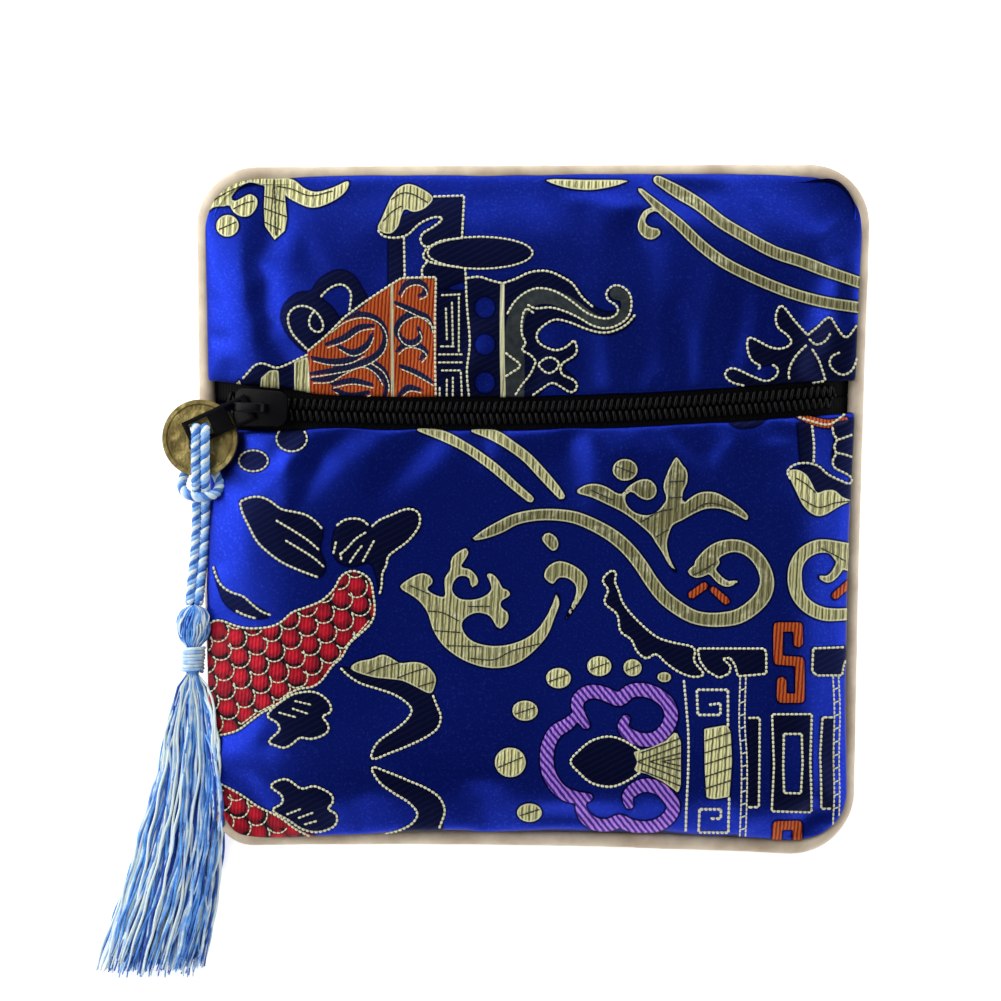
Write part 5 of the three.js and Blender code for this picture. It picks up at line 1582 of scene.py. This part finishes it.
for half in (1, -1):
    select_faces(tab, lambda centre, normal: abs(normal.z) > 0.9 and in_window(centre)
                 and (centre.x - tab_length / 2) * half > 0)
    bpy.ops.mesh.bridge_edge_loops()
    bpy.ops.object.mode_set(mode="OBJECT")
select_edges(tab, lambda a, b: abs(a.z - b.z) > 0.5 * tab_thickness and a.x > tab_end - 0.01 * mm)
bpy.ops.mesh.bevel(offset=1.0 * mm, segments=5, affect="EDGES")
bpy.ops.object.mode_set(mode="OBJECT")
round_edges(tab, 0.18 * mm)
tab_pivot = slider_frame @ Vector((crown_rear - crown_length + crown_wall + 1.5 * tab_bar, 0,
                                   slider_top + (crown_height - crown_wall) / 2))
tab.data.transform(Matrix.Translation(tab_pivot) @ Matrix.Rotation(math.pi + tab_lean, 4, "Z") @ Matrix.Rotation(tab_drop, 4, "Y"))
dress(tab, enamel)
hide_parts("pull_tab")

# Coin charm: a thin cast brass disc with a raised rim, a framed square hole and worn raised marks, gone dark
# in its hollows and rubbed bright on its rim.
coin_radius, coin_rim, coin_rim_width, coin_field = 6.6 * mm, 1.0 * mm, 0.9 * mm, 0.7 * mm
coin_hole, coin_hole_border = 3.7 * mm, 0.5 * mm
bpy.ops.object.select_all(action="DESELECT")
bpy.ops.mesh.primitive_cylinder_add(vertices=120, radius=coin_radius, depth=coin_rim, end_fill_type="NGON")
coin = bpy.context.object
coin.name = "brass_coin"
for face_way in (1, -1):
    select_faces(coin, lambda centre, normal: normal.z * face_way > 0.9)
    bpy.ops.mesh.inset(thickness=coin_rim_width * 0.75, depth=0)
    bpy.ops.mesh.inset(thickness=coin_rim_width * 0.25, depth=-(coin_rim - coin_field) / 2)
    for _ in range(9):
        bpy.ops.mesh.inset(thickness=0.42 * mm, depth=0)
    bpy.ops.object.mode_set(mode="OBJECT")
worn = point_places(coin)
radius = np.hypot(worn[:, 0], worn[:, 1])
turn = np.arctan2(worn[:, 1], worn[:, 0])
mark = np.exp(-((radius - 4.2 * mm) / (0.95 * mm)) ** 2) * np.clip(np.cos(4 * turn) * 1.6 - 0.1, 0, 1)
strokes = np.array([noise.noise(Vector(p) * 900) for p in worn])
lift = np.where(radius < coin_radius - coin_rim_width, 0.18 * mm * mark * (0.4 + strokes) + 0.02 * mm * strokes, 0.012 * mm * strokes)
worn[:, 2] += np.sign(worn[:, 2]) * lift
coin.data.vertices.foreach_set("co", worn.ravel())
coin.data.update()
frame_half = coin_hole / 2 + coin_hole_border
hole_frame = start_block("coin_hole_frame", (-frame_half, -frame_half, -coin_rim / 2),
                         (frame_half, frame_half, coin_rim / 2))
hole_block = start_block("coin_hole", (-coin_hole / 2, -coin_hole / 2, -coin_rim),
                         (coin_hole / 2, coin_hole / 2, coin_rim))
for operation, tool in (("UNION", hole_frame), ("DIFFERENCE", hole_block)):
    cut = coin.modifiers.new(tool.name, "BOOLEAN")
    cut.operation, cut.object, cut.solver = operation, tool, "EXACT"
    bpy.context.view_layer.objects.active = coin
    bpy.ops.object.modifier_apply(modifier=tool.name)
    bpy.data.objects.remove(tool)
round_edges(coin, 0.09 * mm, 2)
coin.data.transform(Matrix.Translation(coin_centre) @ Matrix.Rotation(-coin_tilt, 4, "Y"))
brass, brass_shader = new_finish("old_brass", (0.42, 0.34, 0.12), 0.45, 0.75)
brass_place = add_node(brass, "ShaderNodeTexCoord")
brass_stain = add_node(brass, "ShaderNodeTexNoise", Vector=brass_place.outputs["Object"], Scale=420.0,
                       Detail=6.0)
brass_grain = add_node(brass, "ShaderNodeTexNoise", Vector=brass_place.outputs["Object"], Scale=2200.0,
                       Detail=3.0)
brass_geometry = add_node(brass, "ShaderNodeNewGeometry")
brass_wear = add_node(brass, "ShaderNodeMath", {"operation": "MULTIPLY_ADD"},
                      _0=brass_geometry.outputs["Pointiness"], _1=3.0, _2=-1.25)
brass_mix = add_node(brass, "ShaderNodeMath", {"operation": "MULTIPLY_ADD"}, _0=brass_stain.outputs["Fac"],
                     _1=0.9, _2=brass_wear.outputs[0])
brass_ramp = add_node(brass, "ShaderNodeValToRGB", Fac=brass_mix.outputs[0])
brass_ramp.color_ramp.elements[0].position, brass_ramp.color_ramp.elements[0].color = 0.35, (0.040, 0.026, 0.008, 1)
brass_ramp.color_ramp.elements[1].position, brass_ramp.color_ramp.elements[1].color = 1.0, (0.46, 0.37, 0.13, 1)
brass_middle = brass_ramp.color_ramp.elements.new(0.66)
brass_middle.color = (0.19, 0.14, 0.042, 1)
brass.node_tree.links.new(brass_ramp.outputs["Color"], brass_shader.inputs["Base Color"])
brass_bump = add_node(brass, "ShaderNodeBump", Strength=0.7, Distance=0.00012,
                      Height=brass_grain.outputs["Fac"])
brass.node_tree.links.new(brass_bump.outputs["Normal"], brass_shader.inputs["Normal"])
dress(coin, brass)
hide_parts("coin")

# Tassel head: silk strands folded over a ball and drawn in at the neck.
head_length, head_width, neck_length, neck_width = 7.2 * mm, 6.0 * mm, 4.3 * mm, 2.2 * mm
neck_sink, neck_shift = 1.1 * mm, -0.35 * mm
first_row = cord_route[0]
head_top = cord_place((first_row[0] + first_row[1]) / 2, first_row[2] - 0.3, first_row[3])
head_profile = np.array([(0.0, 0.16), (0.06, 0.50), (0.14, 0.74), (0.28, 0.95), (0.46, 1.0), (0.64, 0.93),
                         (0.80, 0.74), (0.92, 0.52), (1.0, 0.38)])
head_line = curve_through(head_profile, 3)
head_strands = 96
strand_lines, strand_tones = [], []
for strand in range(head_strands):
    turn = 2 * math.pi * strand / head_strands
    sunk = 0.12 * mm if strand % 2 else 0.0
    wide = head_line[:, 1] * (head_width / 2 - 0.16 * mm - sunk) * (1 + chance.uniform(-0.05, 0.04))
    wide = wide * (1 + 0.05 * np.sin(9 * head_line[:, 0] + chance.uniform(0, 6)))
    spin = turn + chance.uniform(0.35, 0.75) * head_line[:, 0] + 0.06 * np.sin(11 * head_line[:, 0] + chance.uniform(0, 6))
    strand_lines.append(np.stack([head_top[0] + wide * np.cos(spin) + neck_shift * head_line[:, 0] * 0.3,
                                  head_top[1] - head_line[:, 0] * head_length,
                                  head_top[2] + wide * np.sin(spin)], 1))
    # The sunk strands get a darker tone than the top ones: painted shade under the top layer.
    strand_tones.append(float(np.clip(chance.normal(0.15 if strand % 2 else 0.5, 0.25), -0.2, 1)))
neck_start = head_top[1] - head_length
neck_line = np.array([head_top + (0, -0.15 * mm, 0), head_top + (0, -0.5 * head_length, 0),
                      (head_top[0], neck_start, head_top[2]), (head_top[0] + neck_shift, neck_start - neck_length, head_top[2] - neck_sink),
                      (head_top[0] + neck_shift, neck_start - neck_length - 1.5 * mm,
                       head_top[2] - neck_sink - 0.4 * mm)])
core_line = curve_through(neck_line, 6)
core_down = (head_top[1] - core_line[:, 1]) / head_length
core_wide = np.where(core_down < 1, np.interp(core_down, head_line[:, 0], head_line[:, 1]) * (head_width / 2 - 0.3 * mm),
                     neck_width / 2)
head_radii = [np.interp(head_line[:, 0], [0, 0.15, 0.5, 0.85, 1],
                        [0.09, 0.15, 0.19, 0.15, 0.09]) * mm] * head_strands
tassel_head = thread_mesh("tassel_head", [*strand_lines, core_line], [*head_radii, core_wide], 6,
                          tones=[*strand_tones, 0.3])
dress(tassel_head, silk)

# Tassel binding: one silk thread wound seven times round the neck.
binding_turns = 7
binding_at = np.linspace(0, 1, binding_turns * 20 + 1)
binding_turn = 2 * np.pi * binding_turns * binding_at
binding_radius = neck_width / 2 + 0.62 * mm + 0.07 * mm * np.sin(1.7 * binding_turn)
binding_y = neck_start - 0.1 * mm - binding_at * (neck_length - 0.2 * mm)
binding_line = np.stack([head_top[0] + neck_shift * binding_at + binding_radius * np.cos(binding_turn),
                         binding_y, head_top[2] - neck_sink * binding_at + binding_radius * np.sin(binding_turn)], 1)
binding = thread_mesh("tassel_binding", [binding_line], [0.31 * mm], 8,
                      tones=[0.6 + 0.12 * np.sin(0.6 * binding_turn)])
dress(binding, silk)
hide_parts("tassel_wrap")

# Tassel skirt: some hundred loose silk strands that fall off the pouch's corner and lie on the table.
skirt_length, skirt_half = 52.0 * mm, 6.5 * mm
# share of the length, middle and half spread as shares of skirt_half, fall to the table
skirt_rows = np.array([
    (0.00, 0.00, 0.10, 0.00), (0.06, -0.02, 0.30, 0.15), (0.20, -0.05, 0.62, 0.45), (0.42, -0.15, 0.86, 0.85),
    (0.54, -0.28, 1.00, 0.95), (0.68, -0.48, 1.10, 1.00), (0.85, -0.82, 1.20, 1.00),
                       (1.00, -1.14, 1.24, 1.00), ])


def ground_under(x, y):
    """The height of what lies under a place: the table, the piping or the front cloth."""
    off = np.full(len(x), np.inf)
    for px, py in piping_line[::3]:
        off = np.minimum(off, np.hypot(x - px, y - py))
    on_piping = seam_height + np.sqrt(np.maximum((piping_diameter / 2) ** 2 - off**2, 0))
    on_cloth = [0 if hit is None else hit.z for hit in lay_on(front_trees, np.stack([x, y], 1))[0]]
    return np.maximum(on_cloth, np.where(off < piping_diameter / 2, on_piping, 0))


skirt_start = np.array([head_top[0] + neck_shift, neck_start - neck_length, head_top[2] - neck_sink])
skirt_strands, skirt_steps = 300, 34
lock_middles = np.linspace(-0.94, 0.94, 13)
skirt_lines, skirt_tones, skirt_radii = [], [], []
along = np.linspace(0, 1, skirt_steps) ** 0.85
middle_line = curve_through(skirt_rows, 6)
for strand in range(skirt_strands):
    lock = int(chance.integers(len(lock_middles)))
    rank = lock_middles[lock] + chance.normal(0, 0.055)
    layer = chance.uniform(0, 1)
    length = 1.0 - 0.07 * chance.uniform(0, 1) ** 1.5 + 0.015 * math.sin(lock * 4.1)
    reach = along * length
    shift = np.interp(reach, middle_line[:, 0], middle_line[:, 1])
    spread = np.interp(reach, middle_line[:, 0], middle_line[:, 2])
    fall = np.interp(reach, middle_line[:, 0], middle_line[:, 3])
    swing = math.sin(lock * 2.4) * 0.09 * np.sin(np.pi * reach * 1.5 + lock) + chance.normal(0, 0.085) * np.sin(
        2 * np.pi * reach * chance.uniform(0.7, 2.0) + chance.uniform(0, 6)) + chance.normal(0, 0.10) * reach**2
    swing = swing + 0.022 * np.sin(2 * np.pi * reach * chance.uniform(4, 8) + chance.uniform(0, 6))
    x = skirt_start[0] + (shift + rank * spread + swing * (reach > 0.02)) * skirt_half
    y = skirt_start[1] - reach * skirt_length
    thick = 3.4 * mm * math.sqrt(max(1 - 0.85 * rank**2, 0.1))
    z = skirt_start[2] * (1 - fall) + (layer - 0.5) * 1.6 * mm * (1 - fall) + fall * (0.25 * mm + layer * thick)
    ground = ground_under(x, y)
    floor_z = np.maximum(z, ground + 0.24 * mm + layer * 0.5 * thick * (ground > 0))
    for _ in range(3):
        floor_z[1:-1] = np.maximum((floor_z[:-2] + 2 * floor_z[1:-1] + floor_z[2:]) / 4,
                                   ground[1:-1] + 0.2 * mm)
    skirt_lines.append(np.stack([x, y, floor_z], 1))
    shade = chance.choice([-0.2, 0.25, 0.55, 1.0], p=[0.28, 0.27, 0.20, 0.25])
    # Each strand's tone is picked at random, and a ripple along it paints highlights of the twisted yarn.
    skirt_tones.append(shade + 0.16 * np.sin(2 * np.pi * reach * chance.uniform(5, 12) + chance.uniform(0, 6)))
    skirt_radii.append(np.interp(along, [0, 0.1, 0.9, 1], [0.17, 0.25, 0.25, 0.12]) * mm)
skirt = thread_mesh("tassel_skirt", skirt_lines, skirt_radii, 5, tones=skirt_tones)
dress(skirt, silk)
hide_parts("tassel")
